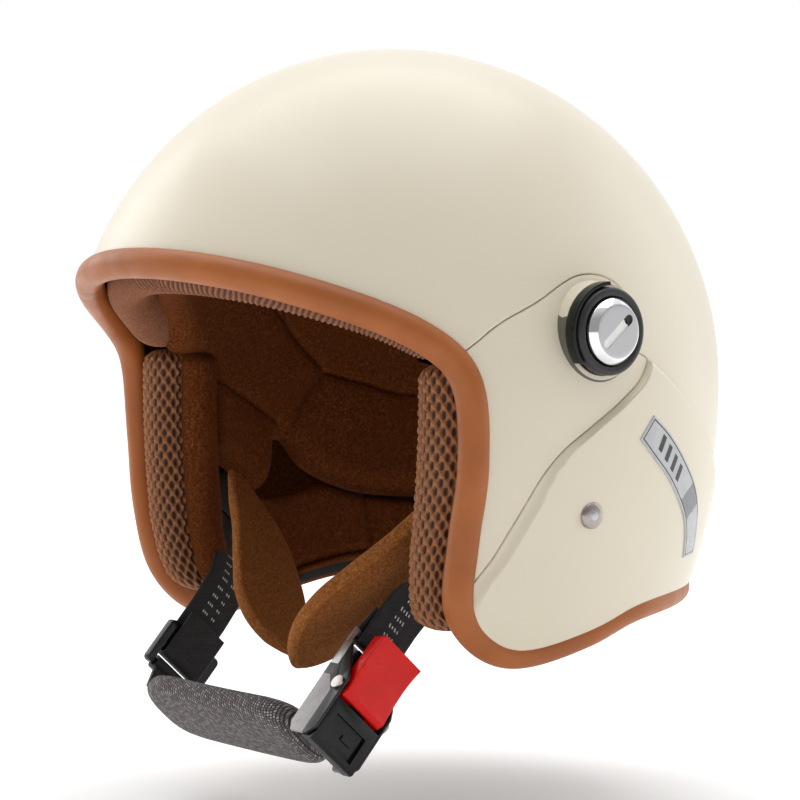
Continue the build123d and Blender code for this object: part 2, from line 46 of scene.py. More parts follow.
# ---- the shell's egg and its side view ----------------------------------------------------------
HALF_WIDTH, FRONT_REACH, REAR_REACH, CROWN_RISE, LOWER_DROP = 125.0, 137.0, 143.0, 138.0, 182.0
CHART = 140.0               # millimetres for one radian from the X axis
BAND_RISE = 2.5
PIVOT = (1.9, 24.8)
RIVET = (-1.3, -45.3)
RIM = [(-145, 57.9), (-127.4, 50.7), (-105.5, 41.6), (-69, 23), (-56, 9.5), (-51.6, -25),
       (-52, -55.5), (-47.7, -83), (-25.7, -99.7), (13, -94.4), (37, -87), (80, -84.5),
       (126, -86), (150, -86.8)]
BAND_FRONT = [(29.3, 13.4), (25.3, 6.5), (12.7, -2.7), (-2.1, -11.7), (-15.4, -20.6), (-23.2, -29),
              (-30.5, -41.3), (-36.4, -52.7), (-40.4, -60.9), (-47.3, -72.8), (-60, -110)]
BAND_INNER = [(30.9, 11.3), (27.2, 4.7), (14.2, -5.2), (-0.4, -14.2), (-11.8, -22.6), (-18.4, -31.5),
              (-25.4, -43.6), (-31, -55), (-35.2, -64), (-39.4, -72), (-40.6, -80), (-36, -89),
              (-28, -96), (-10, -104)]
BAND_TOP = [(36.7, 9.1), (49.1, 1.3), (64.5, -8.5), (78.9, -18.5), (88, -27.5), (100, -37),
            (118, -46), (150, -53)]
FAR = 190                   # well outside the egg in the side view
PLATE_FRONT = [(-110, -110), (-110, 4)]
PLATE_TOP = [(-75, 4), (-53.7, 19.3), (-41.5, 28.1), (-23.7, 36.7), (-12.5, 42.8), (-4.7, 45.9),
             (2.8, 46.8), (10.2, 45.7), (17.3, 42), (21.7, 36), (23.5, 28), (22.9, 19.5),
             (23.6, 17), (29.1, 13.6)]


def axes(y, z, grow):
    """Semi-axes of the egg on the side of each point."""
    return (HALF_WIDTH + grow, np.where(y < 0, FRONT_REACH, REAR_REACH) + grow,
            np.where(z > 0, CROWN_RISE, LOWER_DROP) + grow)


def to_unit(points, grow):
    """Side view points to unit vectors on the wearer's left; those outside the egg go to its edge."""
    points = np.asarray(points, float)
    _, b, c = axes(points[:, 0], points[:, 1], grow)
    p, q = points[:, 0] / b, points[:, 1] / c
    r = np.maximum(np.hypot(p, q), 1e-12)
    k = np.where(r > 1, 1 / r, 1)
    p, q = p * k, q * k
    return np.stack([np.sqrt(np.clip(1 - p * p - q * q, 0, None)), p, q], 1)


def unit_to_chart(unit):
    r = np.hypot(unit[:, 1], unit[:, 2])
    t = np.arctan2(r, unit[:, 0])
    k = np.where(r > 1e-9, t / np.maximum(r, 1e-9), 1) * CHART
    return unit[:, 1:] * k[:, None]


def chart_to_unit(uv):
    t = np.hypot(uv[:, 0], uv[:, 1]) / CHART
    k = np.where(t > 1e-9, np.sin(t) / np.maximum(t, 1e-9), 1) / CHART
    return np.stack([np.cos(t), uv[:, 0] * k, uv[:, 1] * k], 1)


def lift(unit, grow):
    """Unit vectors to points on the egg grown by grow."""
    a, b, c = axes(unit[:, 1], unit[:, 2], grow)
    return np.stack([a * unit[:, 0], b * unit[:, 1], c * unit[:, 2]], 1)


def side_view(unit, grow):
    return lift(unit, grow)[:, 1:]


# ---- lines and distances ------------------------------------------------------------------------


def clean_loop(line):
    """A closed loop without points that crowd together."""
    gap = 0.15
    keep = [line[0]]
    for p in line[1:]:
        if np.linalg.norm(p - keep[-1]) > gap:
            keep.append(p)
    if np.linalg.norm(keep[0] - keep[-1]) < gap:
        keep.pop()
    return np.array(keep)


def smooth_line(points, step, closed=False):
    """Centripetal curve through points, as even samples."""
    pts = np.asarray(points, float)
    if closed:
        ring = np.vstack([pts[-1], pts, pts[0], pts[1]])
    else:
        ring = np.vstack([2 * pts[0] - pts[1], pts, 2 * pts[-1] - pts[-2]])
    out = []

    def blend(t, t_low, t_high, low, high):
        return (t_high - t) / (t_high - t_low) * low + (t - t_low) / (t_high - t_low) * high

    for i in range(len(ring) - 3):
        p0, p1, p2, p3 = ring[i:i + 4]
        t1 = np.linalg.norm(p1 - p0) ** 0.5
        t2 = t1 + np.linalg.norm(p2 - p1) ** 0.5
        t3 = t2 + np.linalg.norm(p3 - p2) ** 0.5
        t = np.linspace(t1, t2, 24, endpoint=False)[:, None]
        a1, a2, a3 = blend(t, 0, t1, p0, p1), blend(t, t1, t2, p1, p2), blend(t, t2, t3, p2, p3)
        out.append(blend(t, t1, t2, blend(t, 0, t2, a1, a2), blend(t, t1, t3, a2, a3)))
    line = np.vstack(out + [ring[-2][None]])
    return even(line, step)


def lengths(line):
    """Distance run along a line at each of its points."""
    return np.concatenate([[0], np.cumsum(np.linalg.norm(np.diff(line, axis=0), axis=1))])


def unit_rows(vectors):
    return vectors / np.linalg.norm(vectors, axis=1)[:, None]


def even(line, step):
    """The same line with points about step apart."""
    line = np.asarray(line, float)
    run = lengths(line)
    count = max(2, int(round(run[-1] / step)) + 1)
    at = np.linspace(0, run[-1], count)
    return np.stack([np.interp(at, run, line[:, k]) for k in range(line.shape[1])], 1)


def left_of(line):
    """Unit vectors square to a line, on its left."""
    d = unit_rows(np.gradient(line, axis=0))
    return np.stack([-d[:, 1], d[:, 0]], 1)


def shut(loop):
    return np.vstack([loop, loop[:1]])


def shifted(line, distance):
    """A line moved to the left of its direction."""
    return line + distance * left_of(line)


def distance_to(points, line):
    """Distance of each point from an open line."""
    best = np.full(len(points), 1e18)
    a, b = line[:-1], line[1:]
    d = b - a
    dd = np.maximum((d * d).sum(1), 1e-12)
    for start in range(0, len(points), 20000):
        p = points[start:start + 20000, None]
        t = np.clip(((p - a) * d).sum(2) / dd, 0, 1)
        near = ((p - a - t[..., None] * d) ** 2).sum(2).min(1)
        best[start:start + 20000] = near
    return np.sqrt(best)


def within(points, loop):
    """Whether each point lies in a closed loop."""
    inside = np.zeros(len(points), bool)
    x, y = points[:, 0], points[:, 1]
    ax, ay = loop[:, 0], loop[:, 1]
    bx, by = np.roll(ax, -1), np.roll(ay, -1)
    for i in range(len(loop)):
        if ay[i] == by[i]:
            continue
        cross = (ay[i] > y) != (by[i] > y)
        inside ^= cross & (x < (bx[i] - ax[i]) * (y - ay[i]) / (by[i] - ay[i]) + ax[i])
    return inside


def signed(points, loop):
    """Distance from a closed loop, positive inside."""
    return np.where(within(points, loop), 1, -1) * distance_to(points, shut(loop))


def step_up(t):
    t = np.clip(t, 0, 1)
    return t * t * (3 - 2 * t)


def quarter(t):
    """A quarter round: rises steeply from 0 and levels out at 1."""
    return np.sqrt(np.clip(1 - (1 - np.clip(t, 0, 1)) ** 2, 0, None))


def circle(angle, radius, centre=(0.0, 0.0)):
    return np.stack([centre[0] + radius * np.cos(angle), centre[1] + radius * np.sin(angle)], 1)


def turns_of(count):
    """Even angles round a full turn."""
    return np.linspace(0, 2 * math.pi, count, endpoint=False)


def both_sides(half):
    """A line on the wearer's left and its mirror image, run together."""
    return np.vstack([half, (half * MIRROR)[::-1]])


# ---- meshes -------------------------------------------------------------------------------------


def add(name, data):
    """A new object in the scene."""
    obj = bpy.data.objects.new(name, data)
    bpy.context.scene.collection.objects.link(obj)
    return obj


def make(name, verts, faces, normals=None, uv=None, tones=None, smooth=True):
    """A mesh object from millimetres. tones are named values per vertex."""
    mesh = bpy.data.meshes.new(name)
    mesh.from_pydata((np.asarray(verts) * MM).tolist(), [], [list(map(int, f)) for f in faces])
    mesh.validate()
    if smooth:
        mesh.shade_smooth()
    if uv is not None:
        layer = mesh.uv_layers.new(name="UVMap")
        index = np.zeros(len(mesh.loops), int)
        mesh.loops.foreach_get("vertex_index", index)
        layer.data.foreach_set("uv", np.asarray(uv, np.float32)[index].ravel())
    for key, values in (tones or {}).items():
        field = mesh.attributes.new(key, "FLOAT", "POINT")
        field.data.foreach_set("value", np.asarray(values, np.float32))
    if normals is not None:
        mesh.normals_split_custom_set_from_vertices(np.asarray(normals, float).tolist())
    return add(name, mesh)


def ring_faces(n, m, caps=True, closed=False):
    """Quads between n rings of m points, with a face on each end."""
    faces = []
    for i in range(n if closed else n - 1):
        a, b = i * m, ((i + 1) % n) * m
        faces += [(a + k, a + (k + 1) % m, b + (k + 1) % m, b + k) for k in range(m)]
    if caps and not closed:
        faces += [tuple(range(m)), tuple(range((n - 1) * m, n * m))[::-1]]
    return faces


def edit(obj, *steps):
    """Runs bmesh steps on a mesh and turns its faces outwards."""
    bm = bmesh.new()
    bm.from_mesh(obj.data)
    for step in steps:
        step(bm)
    bmesh.ops.recalc_face_normals(bm, faces=bm.faces)
    bm.to_mesh(obj.data)
    bm.free()
    return obj


def merge_doubles(bm):
    bmesh.ops.remove_doubles(bm, verts=bm.verts, dist=1e-6)


def drop_loose(bm):
    bmesh.ops.delete(bm, geom=[v for v in bm.verts if not v.link_faces], context="VERTS")


def tube(name, rings, uv=None, tones=None, closed=False):
    """A skin over rings of points, with capped ends."""
    faces = ring_faces(len(rings), len(rings[0]), closed=closed)
    return edit(make(name, np.vstack(rings), faces, uv=None if uv is None else np.vstack(uv),
                     tones=tones))


def slot_faces(obj, index):
    """Sets which material each face has."""
    obj.data.polygons.foreach_set("material_index", np.asarray(index).astype(np.int32))


def face_centres(obj):
    return np.array([tuple(p.center) for p in obj.data.polygons]) / MM


def triangulate(loop, rows, spacing, keep=None):
    """Triangles of a flat region: its closed loop, lines to follow and an even fill. keep picks
    the faces to leave in."""
    points, edges = [], []

    def put(line, closed):
        base = len(points)
        points.extend(map(tuple, line))
        count = len(line)
        edges.extend((base + i, base + i + 1) for i in range(count - 1))
        if closed:
            edges.append((base + count - 1, base))

    put(loop, True)
    for row in rows:
        if len(row) > 1:
            put(row, False)
    low, high = loop.min(0), loop.max(0)
    gy = np.arange(low[1], high[1], spacing * 0.866)
    fill = []
    for i, v in enumerate(gy):
        gx = np.arange(low[0] + (i % 2) * spacing / 2, high[0], spacing)
        fill.append(np.stack([gx, np.full(len(gx), v)], 1))
    fill = np.vstack(fill)
    fill = fill[within(fill, loop)]
    if keep is not None:
        fill = fill[keep(fill)]
    fixed = np.array(points)
    if len(fill):
        near = np.empty(len(fill))
        for start in range(0, len(fill), 2000):
            part = fill[start:start + 2000, None]
            near[start:start + 2000] = ((part - fixed) ** 2).sum(2).min(1)
        points.extend(map(tuple, fill[near > (0.55 * spacing) ** 2]))
    verts, _, faces, *_ = delaunay_2d_cdt([Vector(p) for p in points], edges, [], 0, 1e-5)
    verts = np.array([tuple(v) for v in verts])
    faces = np.array([f for f in faces if len(f) == 3])
    a, b, c = (verts[faces[:, k]] for k in range(3))
    area = (b[:, 0] - a[:, 0]) * (c[:, 1] - a[:, 1]) - (b[:, 1] - a[:, 1]) * (c[:, 0] - a[:, 0])
    faces[area < 0] = faces[area < 0][:, ::-1]
    centre = verts[faces].mean(1)
    good = within(centre, loop) & (np.abs(area) > 1e-5)
    if keep is not None:
        good &= keep(centre)
    faces = faces[good]
    used = np.unique(faces)
    new = np.full(len(verts), -1)
    new[used] = np.arange(len(used))
    return verts[used], new[faces]


def disc_rows(line, grow):
    """A side view line in the chart, cut where it leaves the egg."""
    pts = np.asarray(line, float)
    _, b, c = axes(pts[:, 0], pts[:, 1], grow)
    scaled = np.stack([pts[:, 0] / b, pts[:, 1] / c], 1)
    r = np.hypot(scaled[:, 0], scaled[:, 1])

    def crossing(i, j):
        t = (1 - r[i]) / (r[j] - r[i])
        p = scaled[i] + t * (scaled[j] - scaled[i])
        p /= np.linalg.norm(p)
        return np.array([0, p[0], p[1]])
    runs, run = [], []
    for i in range(len(pts)):
        if r[i] < 0.99999:
            if not run and i:
                run.append(crossing(i - 1, i))
            run.append(np.array([math.sqrt(1 - r[i] ** 2), *scaled[i]]))
        elif run:
            run.append(crossing(i - 1, i))
            runs.append(run)
            run = []
    runs.append(run)
    return [unit_to_chart(np.array(run)) for run in runs if len(run) > 1]


def egg_skin(name, region, rows, spacing, grow, height, drop=None, inward=False, both=True,
             warp=None):
    """A piece of the egg at layer grow plus height(side view). The region to keep, what to drop
    and the rows to follow are side view lines at that layer. With both, the wearer's right is its
    mirror image, welded at the middle."""
    disc = circle(turns_of(720), CHART * math.pi / 2)

    def wanted(uv):
        yz = side_view(chart_to_unit(uv), grow)
        good = within(yz, region)
        return good if drop is None else good & ~within(yz, drop)
    lines = [piece for row in rows for piece in disc_rows(row, grow)]
    uv, faces = triangulate(disc, lines, spacing, wanted)
    unit = chart_to_unit(uv)
    unit[np.abs(unit[:, 0]) < 2e-4, 0] = 0

    def place(u):
        spot = lift(u, grow + height(side_view(u, grow)))
        return spot if warp is None else warp(spot)
    verts = place(unit)
    one = unit_rows(np.cross(unit, np.array([0.13, 0.7, 0.71])))
    two = np.cross(unit, one)
    tiny = 0.0004

    def moved(d):
        return place(unit_rows(unit + tiny * d))
    normals = np.cross(moved(one) - moved(-one), moved(two) - moved(-two))
    normals /= np.maximum(np.linalg.norm(normals, axis=1), 1e-12)[:, None]
    flip = (normals * unit).sum(1) < 0
    normals[flip] *= -1
    v0, v1, v2 = (verts[faces[:, k]] for k in range(3))
    facing = (np.cross(v1 - v0, v2 - v0) * v0).sum(1)
    if np.median(facing) < 0:
        faces = faces[:, ::-1]
    if inward:
        normals, faces = -normals, faces[:, ::-1]
    if both:
        middle = unit[:, 0] == 0
        normals[middle, 0] = 0
        count = len(verts)
        extra = ~middle
        index = np.empty(count, int)
        index[middle] = np.where(middle)[0]
        index[extra] = count + np.arange(extra.sum())
        mirrored = index[faces][:, ::-1]
        verts = np.vstack([verts, (verts * MIRROR)[extra]])
        normals = np.vstack([normals, (normals * MIRROR)[extra]])
        faces = np.vstack([faces, mirrored])
    return make(name, verts, faces, normals)


def mirror_copy(obj, name):
    """The same piece on the other side."""
    mesh = obj.data.copy()
    mesh.name = name
    normals = np.zeros(len(mesh.corner_normals) * 3, np.float32)
    mesh.corner_normals.foreach_get("vector", normals)
    bm = bmesh.new()
    bm.from_mesh(mesh)
    for v in bm.verts:
        v.co.x = -v.co.x
    bmesh.ops.reverse_faces(bm, faces=bm.faces)
    bm.to_mesh(mesh)
    bm.free()
    other = add(name, mesh)
    if "custom_normal" in obj.data.attributes:
        per_vertex = np.zeros((len(obj.data.vertices), 3))
        index = np.zeros(len(obj.data.loops), int)
        obj.data.loops.foreach_get("vertex_index", index)
        per_vertex[index] = normals.reshape(-1, 3)
        mesh.normals_split_custom_set_from_vertices((per_vertex * MIRROR).tolist())
    return other


def sweep(name, path, sides, ups, section, closed=False):
    """Rings of section(i) -> (side, up) offsets placed along a path with its own axes."""
    rings, uvs = [], []
    run = lengths(path)
    for i in range(len(path)):
        ring = section(i)
        rings.append(path[i] + ring[:, :1] * sides[i] + ring[:, 1:2] * ups[i])
        uvs.append(np.stack([lengths(ring), np.full(len(ring), run[i])], 1))
    return tube(name, rings, uvs, closed=closed)


def lathe(name, profile, centre, segments=128):
    """A turned piece about the X direction. profile is (x, radius) from the axis outwards."""
    rings = [at_x(x, circle(turns_of(segments), r, centre)) for x, r in profile]
    return edit(make(name, np.vstack(rings), ring_faces(len(profile), segments, caps=False)),
                merge_doubles)


def at_x(x, points):
    """Side view points as points in space at x."""
    return np.column_stack([np.full(len(points), x), points])


def crease(obj, degrees):
    """Smooth shading that breaks at sharp edges."""
    obj.data.shade_smooth()
    bpy.context.view_layer.objects.active = obj
    obj.data.set_sharp_from_angle(angle=math.radians(degrees))


# ---- materials ----------------------------------------------------------------------------------


def rgb(r, g, b):
    """sRGB 0-255 to linear."""
    made = []
    for c in (r, g, b):
        c /= 255
        made.append(c / 12.92 if c <= 0.04045 else ((c + 0.055) / 1.055) ** 2.4)
    return (*made, 1.0)


class Nodes:
    """A node tree, built up from small steps."""

    def __init__(self, tree):
        self.tree = tree

    def node(self, kind, values=None, **settings):
        n = self.tree.nodes.new(kind)
        for k, v in settings.items():
            setattr(n, k, v)
        for k, v in (values or {}).items():
            if hasattr(v, "is_output"):
                self.tree.links.new(v, n.inputs[k])
            else:
                n.inputs[k].default_value = v
        return n

    def place(self):
        return self.node("ShaderNodeTexCoord").outputs["Object"]

    def flat(self):
        return self.node("ShaderNodeTexCoord").outputs["UV"]

    def tone(self, name):
        return self.node("ShaderNodeAttribute", attribute_name=name).outputs["Fac"]

    def noise(self, scale, detail, rough=0.5, stretch=None):
        at = self.place()
        if stretch:
            at = self.node("ShaderNodeMapping", {"Vector": at, "Scale": stretch}).outputs[0]
        return self.node("ShaderNodeTexNoise", {"Vector": at, "Scale": scale, "Detail": detail,
                                                "Roughness": rough}).outputs["Fac"]

    def math(self, how, a, b=0.0):
        return self.node("ShaderNodeMath", {0: a, 1: b}, operation=how).outputs[0]

    def times(self, a, b):
        return self.math("MULTIPLY", a, b)

    def plus(self, a, b):
        return self.math("ADD", a, b)

    def minus(self, a, b):
        return self.math("SUBTRACT", a, b)

    def ramp(self, fac, *stops):
        n = self.node("ShaderNodeValToRGB", {"Fac": fac})
        while len(n.color_ramp.elements) < len(stops):
            n.color_ramp.elements.new(0.5)
        for e, (at, colour) in zip(n.color_ramp.elements, stops):
            e.position = at
            e.color = colour
        return n.outputs[0]

    def range(self, fac, low, high, to_low, to_high):
        return self.node("ShaderNodeMapRange", {0: fac, 1: low, 2: high, 3: to_low,
                                                4: to_high}).outputs[0]

    def parts(self, vector):
        return self.node("ShaderNodeSeparateXYZ", {0: vector}).outputs

    def mix(self, fac, a, b):
        n = self.node("ShaderNodeMix", data_type="RGBA")
        for socket, v in ((n.inputs[0], fac), (n.inputs[6], a), (n.inputs[7], b)):
            if hasattr(v, "is_output"):
                self.tree.links.new(v, socket)
            else:
                socket.default_value = v
        return n.outputs[2]

    def bump(self, height, strength, depth):
        return self.node("ShaderNodeBump", {"Strength": strength, "Distance": depth * MM,
                                            "Height": height}).outputs[0]


class Finish(Nodes):
    """A node material. values are the shader's own settings."""

    def __init__(self, name, **values):
        self.material = bpy.data.materials.new(name)
        self.material.use_nodes = True
        super().__init__(self.material.node_tree)
        self.shader = next(n for n in self.tree.nodes if n.type == "BSDF_PRINCIPLED")
        for key, value in values.items():
            self.shader.inputs[key.replace("_", " ")].default_value = value

    def feed(self, name, value):
        self.tree.links.new(value, self.shader.inputs[name])


def paint_finish():
    f = Finish("shell_paint", Coat_Weight=0.35, Coat_Roughness=0.25)
    cloud = f.noise(14, 2)
    f.feed("Base Color", f.ramp(cloud, (0.0, rgb(216, 206, 184)), (1.0, rgb(226, 217, 196))))
    f.feed("Roughness", f.range(f.noise(60, 4), 0.0, 1.0, 0.36, 0.48))
    return f.material


def leather_finish():
    f = Finish("trim_leather", Specular_IOR_Level=0.3)
    cloud = f.noise(40, 4)
    f.feed("Base Color", f.ramp(cloud, (0.2, rgb(148, 82, 37)), (0.55, rgb(165, 94, 45)),
                                (0.85, rgb(176, 104, 54))))
    cell = f.node("ShaderNodeTexVoronoi", {"Vector": f.place(), "Scale": 900.0},
                  feature="DISTANCE_TO_EDGE").outputs["Distance"]
    grain = f.times(f.range(cell, 0, 0.12, 0, 1), 0.6)
    grain = f.plus(grain, f.noise(1500, 2))
    f.feed("Normal", f.bump(grain, 0.18, 0.12))
    f.feed("Roughness", f.range(f.noise(120, 3), 0.3, 0.7, 0.36, 0.5))
    return f.material


def suede_finish(name, dark, mid, light, fuzz=0.5, sheen=0.5):
    f = Finish(name, Roughness=0.95, Sheen_Weight=sheen, Sheen_Roughness=0.4, Sheen_Tint=light,
               Specular_IOR_Level=0.15)
    nap = f.noise(900, 5, 0.65)
    cloud = f.noise(45, 4)
    fine = f.ramp(nap, (0.28, dark), (0.5, mid), (0.74, light))
    f.feed("Base Color", f.mix(f.range(cloud, 0.35, 0.7, 0, 0.55), fine, mid))
    tuft = f.plus(f.noise(1400, 3, 0.7), f.times(f.noise(420, 3), 0.7))
    f.feed("Normal", f.bump(tuft, fuzz, 0.5))
    return f.material


def pressed_finish(name, tone, rough, sheen, tint, colours, fibres, bump):
    """Cloth with painted shade where its named tone falls to 0. colours is the painted hollow shade,
    dark and light.
    """
    f = Finish(name, Roughness=rough, Sheen_Weight=sheen, Sheen_Roughness=0.4, Sheen_Tint=tint)
    hollow_shade, dark, light = (rgb(*colour) for colour in colours)
    raised = f.tone(tone)
    fibre = f.noise(fibres, 4, 0.6)
    f.feed("Base Color", f.mix(raised, hollow_shade, f.mix(f.range(fibre, 0.3, 0.7, 0, 1), dark, light)))
    f.feed("Normal", f.bump(fibre, *bump))
    return f.material


def twill_finish():
    """Heather knit: slanted stitches in columns, from UVs in millimetres."""
    f = Finish("knit_grey", Roughness=0.85, Sheen_Weight=0.25, Sheen_Roughness=0.5)
    wale, stitch, offset = 1.5, 1.1, 0.37
    u, v = f.parts(f.flat())[:2]
    column = f.math("DIVIDE", v, wale)
    cell_u = f.math("FLOOR", column)
    inside_u = f.math("FRACT", column)
    lean = f.times(f.minus(inside_u, 0.5), 0.7)
    shift = f.times(cell_u, offset)
    row = f.plus(f.plus(f.math("DIVIDE", u, stitch), lean), shift)
    inside_v = f.math("FRACT", row)
    cell_v = f.math("FLOOR", row)
    du = f.times(f.minus(inside_u, 0.5), 2.1)
    dv = f.times(f.minus(inside_v, 0.5), 2.3)
    r = f.plus(f.times(du, du), f.times(dv, dv))
    gap = f.range(f.math("ABSOLUTE", f.minus(inside_u, 0.5)), 0.28, 0.46, 1, 0)
    dome = f.times(f.range(r, 0.25, 1.15, 1, 0), gap)
    ident = f.node("ShaderNodeCombineXYZ", {0: cell_u, 1: cell_v}).outputs[0]
    chance = f.node("ShaderNodeTexWhiteNoise", {"Vector": ident},
                    noise_dimensions="3D").outputs["Value"]
    yarn = f.ramp(chance, (0.1, rgb(92, 81, 82)), (0.5, rgb(130, 117, 118)),
                  (0.9, rgb(186, 172, 174)))
    knit = f.mix(dome, rgb(22, 18, 20), yarn)
    f.feed("Base Color", f.mix(f.tone("piping"), knit, rgb(14, 13, 14)))
    f.feed("Normal", f.bump(f.plus(dome, f.times(f.noise(2500, 3), 0.3)), 0.8, 0.6))
    return f.material


def webbing_finish():
    f = Finish("webbing", Roughness=0.62, Sheen_Weight=0.15, Sheen_Roughness=0.4)
    u, v = f.parts(f.flat())[:2]
    warp = f.math("SINE", f.times(u, 7.0))
    weft = f.math("SINE", f.times(v, 9.0))
    weave = f.times(warp, weft)
    f.feed("Base Color", f.ramp(f.plus(f.times(weave, 0.25), f.noise(300, 3)),
                                (0.3, rgb(11, 11, 12)), (0.8, rgb(34, 34, 35))))
    f.feed("Normal", f.bump(weave, 0.5, 0.25))
    return f.material


def plastic_finish(name, colours, cloud, rough_cloud, rough, grain, specular=0.5):
    """Moulded plastic. colours is its dark and light tone, grain is (scale, strength)."""
    f = Finish(name, Specular_IOR_Level=specular)
    dark, light = (rgb(*colour) for colour in colours)
    f.feed("Base Color", f.ramp(f.noise(cloud, 3), (0.3, dark), (0.7, light)))
    f.feed("Roughness", f.range(f.noise(rough_cloud, 4), 0.3, 0.7, *rough))
    f.feed("Normal", f.bump(f.noise(grain[0], 2), grain[1], 0.05))
    return f.material


def metal_finish(name, colour, low, high, brushed=True):
    f = Finish(name, Metallic=1.0)
    streak = f.noise(500, 4, 0.6, stretch=(1, 1, 14) if brushed else None)
    f.feed("Base Color", f.mix(f.range(streak, 0.3, 0.7, 0, 0.25), colour,
                               tuple(c * 0.8 for c in colour[:3]) + (1,)))
    f.feed("Roughness", f.range(streak, 0.3, 0.7, low, high))
    f.feed("Normal", f.bump(streak, 0.06, 0.03))
    return f.material


def plain_finish(name, one, two, rough, scale=120.0, grain=0.1):
    f = Finish(name, Roughness=rough)
    f.feed("Base Color", f.mix(f.range(f.noise(scale, 4), 0.3, 0.7, 0, 1), one, two))
    f.feed("Normal", f.bump(f.noise(scale * 6, 3), grain, 0.1))
    return f.material


def buckle_finish():
    """Buckle frame: grey inset side plates, black housing edge and bare steel above."""
    f = Finish("buckle_sides")
    x, y, z = f.parts(f.place())
    to_mm, down_y, down_z, rivet_drop = 1000.0, -0.669, -0.743, 0.87 + 33.66
    chamfer_to, inset_x, inset_from, steel_x, steel_to = 102.5, 63.9, 95.9, 58.6, 91
    drop = f.plus(f.times(y, down_y * to_mm), f.times(z, down_z * to_mm))
    drop = f.minus(drop, rivet_drop)
    far = f.times(x, to_mm)
    corner = f.plus(far, f.times(f.math("MAXIMUM", f.minus(chamfer_to, drop), 0), 0.9))
    inset = f.times(f.range(corner, inset_x, inset_x - 0.2, 0, 1),
                    f.range(drop, inset_from, inset_from + 0.2, 0, 1))
    steel = f.times(f.range(drop, steel_to, steel_to - 0.2, 0, 1),
                    f.range(far, steel_x, steel_x - 0.2, 0, 1))
    grain = f.noise(300, 4)
    plate = f.mix(f.range(grain, 0.3, 0.7, 0, 1), rgb(150, 145, 145), rgb(166, 161, 161))
    colour = f.mix(inset, rgb(18, 18, 19), plate)
    f.feed("Base Color", f.mix(steel, colour, rgb(190, 190, 192)))
    f.feed("Metallic", steel)
    f.feed("Roughness", f.range(grain, 0.3, 0.7, 0.26, 0.4))
    f.feed("Normal", f.bump(grain, 0.05, 0.05))
    return f.material


PAINT = paint_finish()
LEATHER = leather_finish()
SUEDE = suede_finish("suede", rgb(54, 23, 5), rgb(96, 48, 16), rgb(142, 82, 36))
FLAP_FACE = suede_finish("suede_flap", rgb(86, 46, 18), rgb(134, 80, 38), rgb(176, 114, 62), 0.6, 0.6)
# The rolled edge's lighter browns are painted light on the edge that faces the lamps; its stronger nap
# and sheen are the suede's own.
FLAP_EDGE_LIT = suede_finish("suede_edge_painted_light", rgb(92, 48, 18), rgb(150, 90, 44), rgb(196, 136, 82), 1.0,
                         0.8)
# The first colour is painted shade in the hollows between the brow band's ribs.
RIB = pressed_finish("rib_knit", "ridge", 0.8, 0.35, rgb(190, 130, 90),
                     ((58, 28, 14), (118, 66, 38), (166, 104, 66)), 1200, (0.4, 0.25))
# The mesh's first colour is painted shade inside its holes.
MESH = pressed_finish("mesh", "solid", 0.72, 0.3, rgb(210, 150, 105),
                      ((52, 24, 12), (128, 78, 44), (176, 118, 74)), 1600, (0.35, 0.2))
TWILL = twill_finish()
WEBBING = webbing_finish()
BLACK = plastic_finish("black_plastic", ((13, 13, 14), (20, 20, 21)), 80, 200, (0.2, 0.3),
                       (1200, 0.08), 0.28)
SATIN = plastic_finish("satin_black", ((28, 28, 29), (36, 36, 38)), 90, 250, (0.38, 0.48),
                       (1500, 0.1))
RED = plastic_finish("red_plastic", ((214, 8, 3), (228, 12, 5)), 60, 150, (0.24, 0.34),
                     (500, 0.05), 0.3)
CHROME = metal_finish("chrome", rgb(235, 235, 236), 0.05, 0.1, False)
BRUSHED = metal_finish("brushed", rgb(196, 196, 198), 0.28, 0.4)
NICKEL = metal_finish("nickel", rgb(168, 160, 155), 0.22, 0.3, False)
STEEL = metal_finish("steel", rgb(186, 186, 190), 0.22, 0.34)
BRASS = metal_finish("brass", rgb(190, 155, 90), 0.25, 0.35)
FOAM = plain_finish("foam", rgb(30, 18, 12), rgb(44, 26, 18), 0.9, 300.0, 0.5)
LABEL_GREY = plain_finish("label", rgb(176, 177, 180), rgb(190, 191, 194), 0.35, 200.0)
LABEL_DARK = plain_finish("label_dark", rgb(112, 113, 116), rgb(140, 141, 144), 0.4, 900.0)
EDGE_BLACK = plain_finish("edge_black", rgb(9, 8, 8), rgb(16, 14, 13), 0.9, 300.0)
SLOT_PAINTED_LIGHT = plain_finish("slot_painted_light", rgb(226, 226, 224), rgb(240, 240, 238), 0.4, 150.0)
# Painted shade for the lower front side of the visor boss's wall.
SHADE = plain_finish("boss_shade", rgb(84, 82, 74), rgb(98, 95, 86), 0.45, 150.0)
# Dark coated steel for the hangers, which also serves as painted shadow on the far end of the cap
# slot.
DARK_STEEL_AND_SLOT_SHADOW = plain_finish("dark_steel_and_slot_shadow", rgb(34, 26, 22), rgb(44, 34, 28), 0.5, 200.0)
INK = plain_finish("ink", rgb(14, 14, 15), rgb(22, 22, 23), 0.4)
TICKS = plain_finish("ticks", rgb(196, 196, 194), rgb(226, 226, 224), 0.7, 2000.0)
BUCKLE = buckle_finish()


def dress(obj, *materials):
    """Gives a mesh its materials and keeps which face has which."""
    faces = obj.data.polygons
    index = np.zeros(len(faces), np.int32)
    if len(materials) > 1:
        faces.foreach_get("material_index", index)
    obj.data.materials.clear()
    for material in materials:
        obj.data.materials.append(material)
    faces.foreach_set("material_index", index)
    return obj


def settle(obj, body, material, nodes=()):
    """Gives a piece its finish, its body and the CAD nodes that it stands for."""
    if not isinstance(material, (list, tuple)):
        material = (material,)
    dress(obj, *material)
    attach(obj, body)
    if nodes:
        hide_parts(*nodes)
    return obj


def settle_pair(left, body, material, node=None):
    """Settles a piece of the left side and its mirror image. {} stands for the side's name."""
    right = mirror_copy(left, left.name.replace("_left", "_right"))
    for obj, name in ((left, "left"), (right, "right")):
        settle(obj, body.format(name), material, [node.format(name)] if node else ())


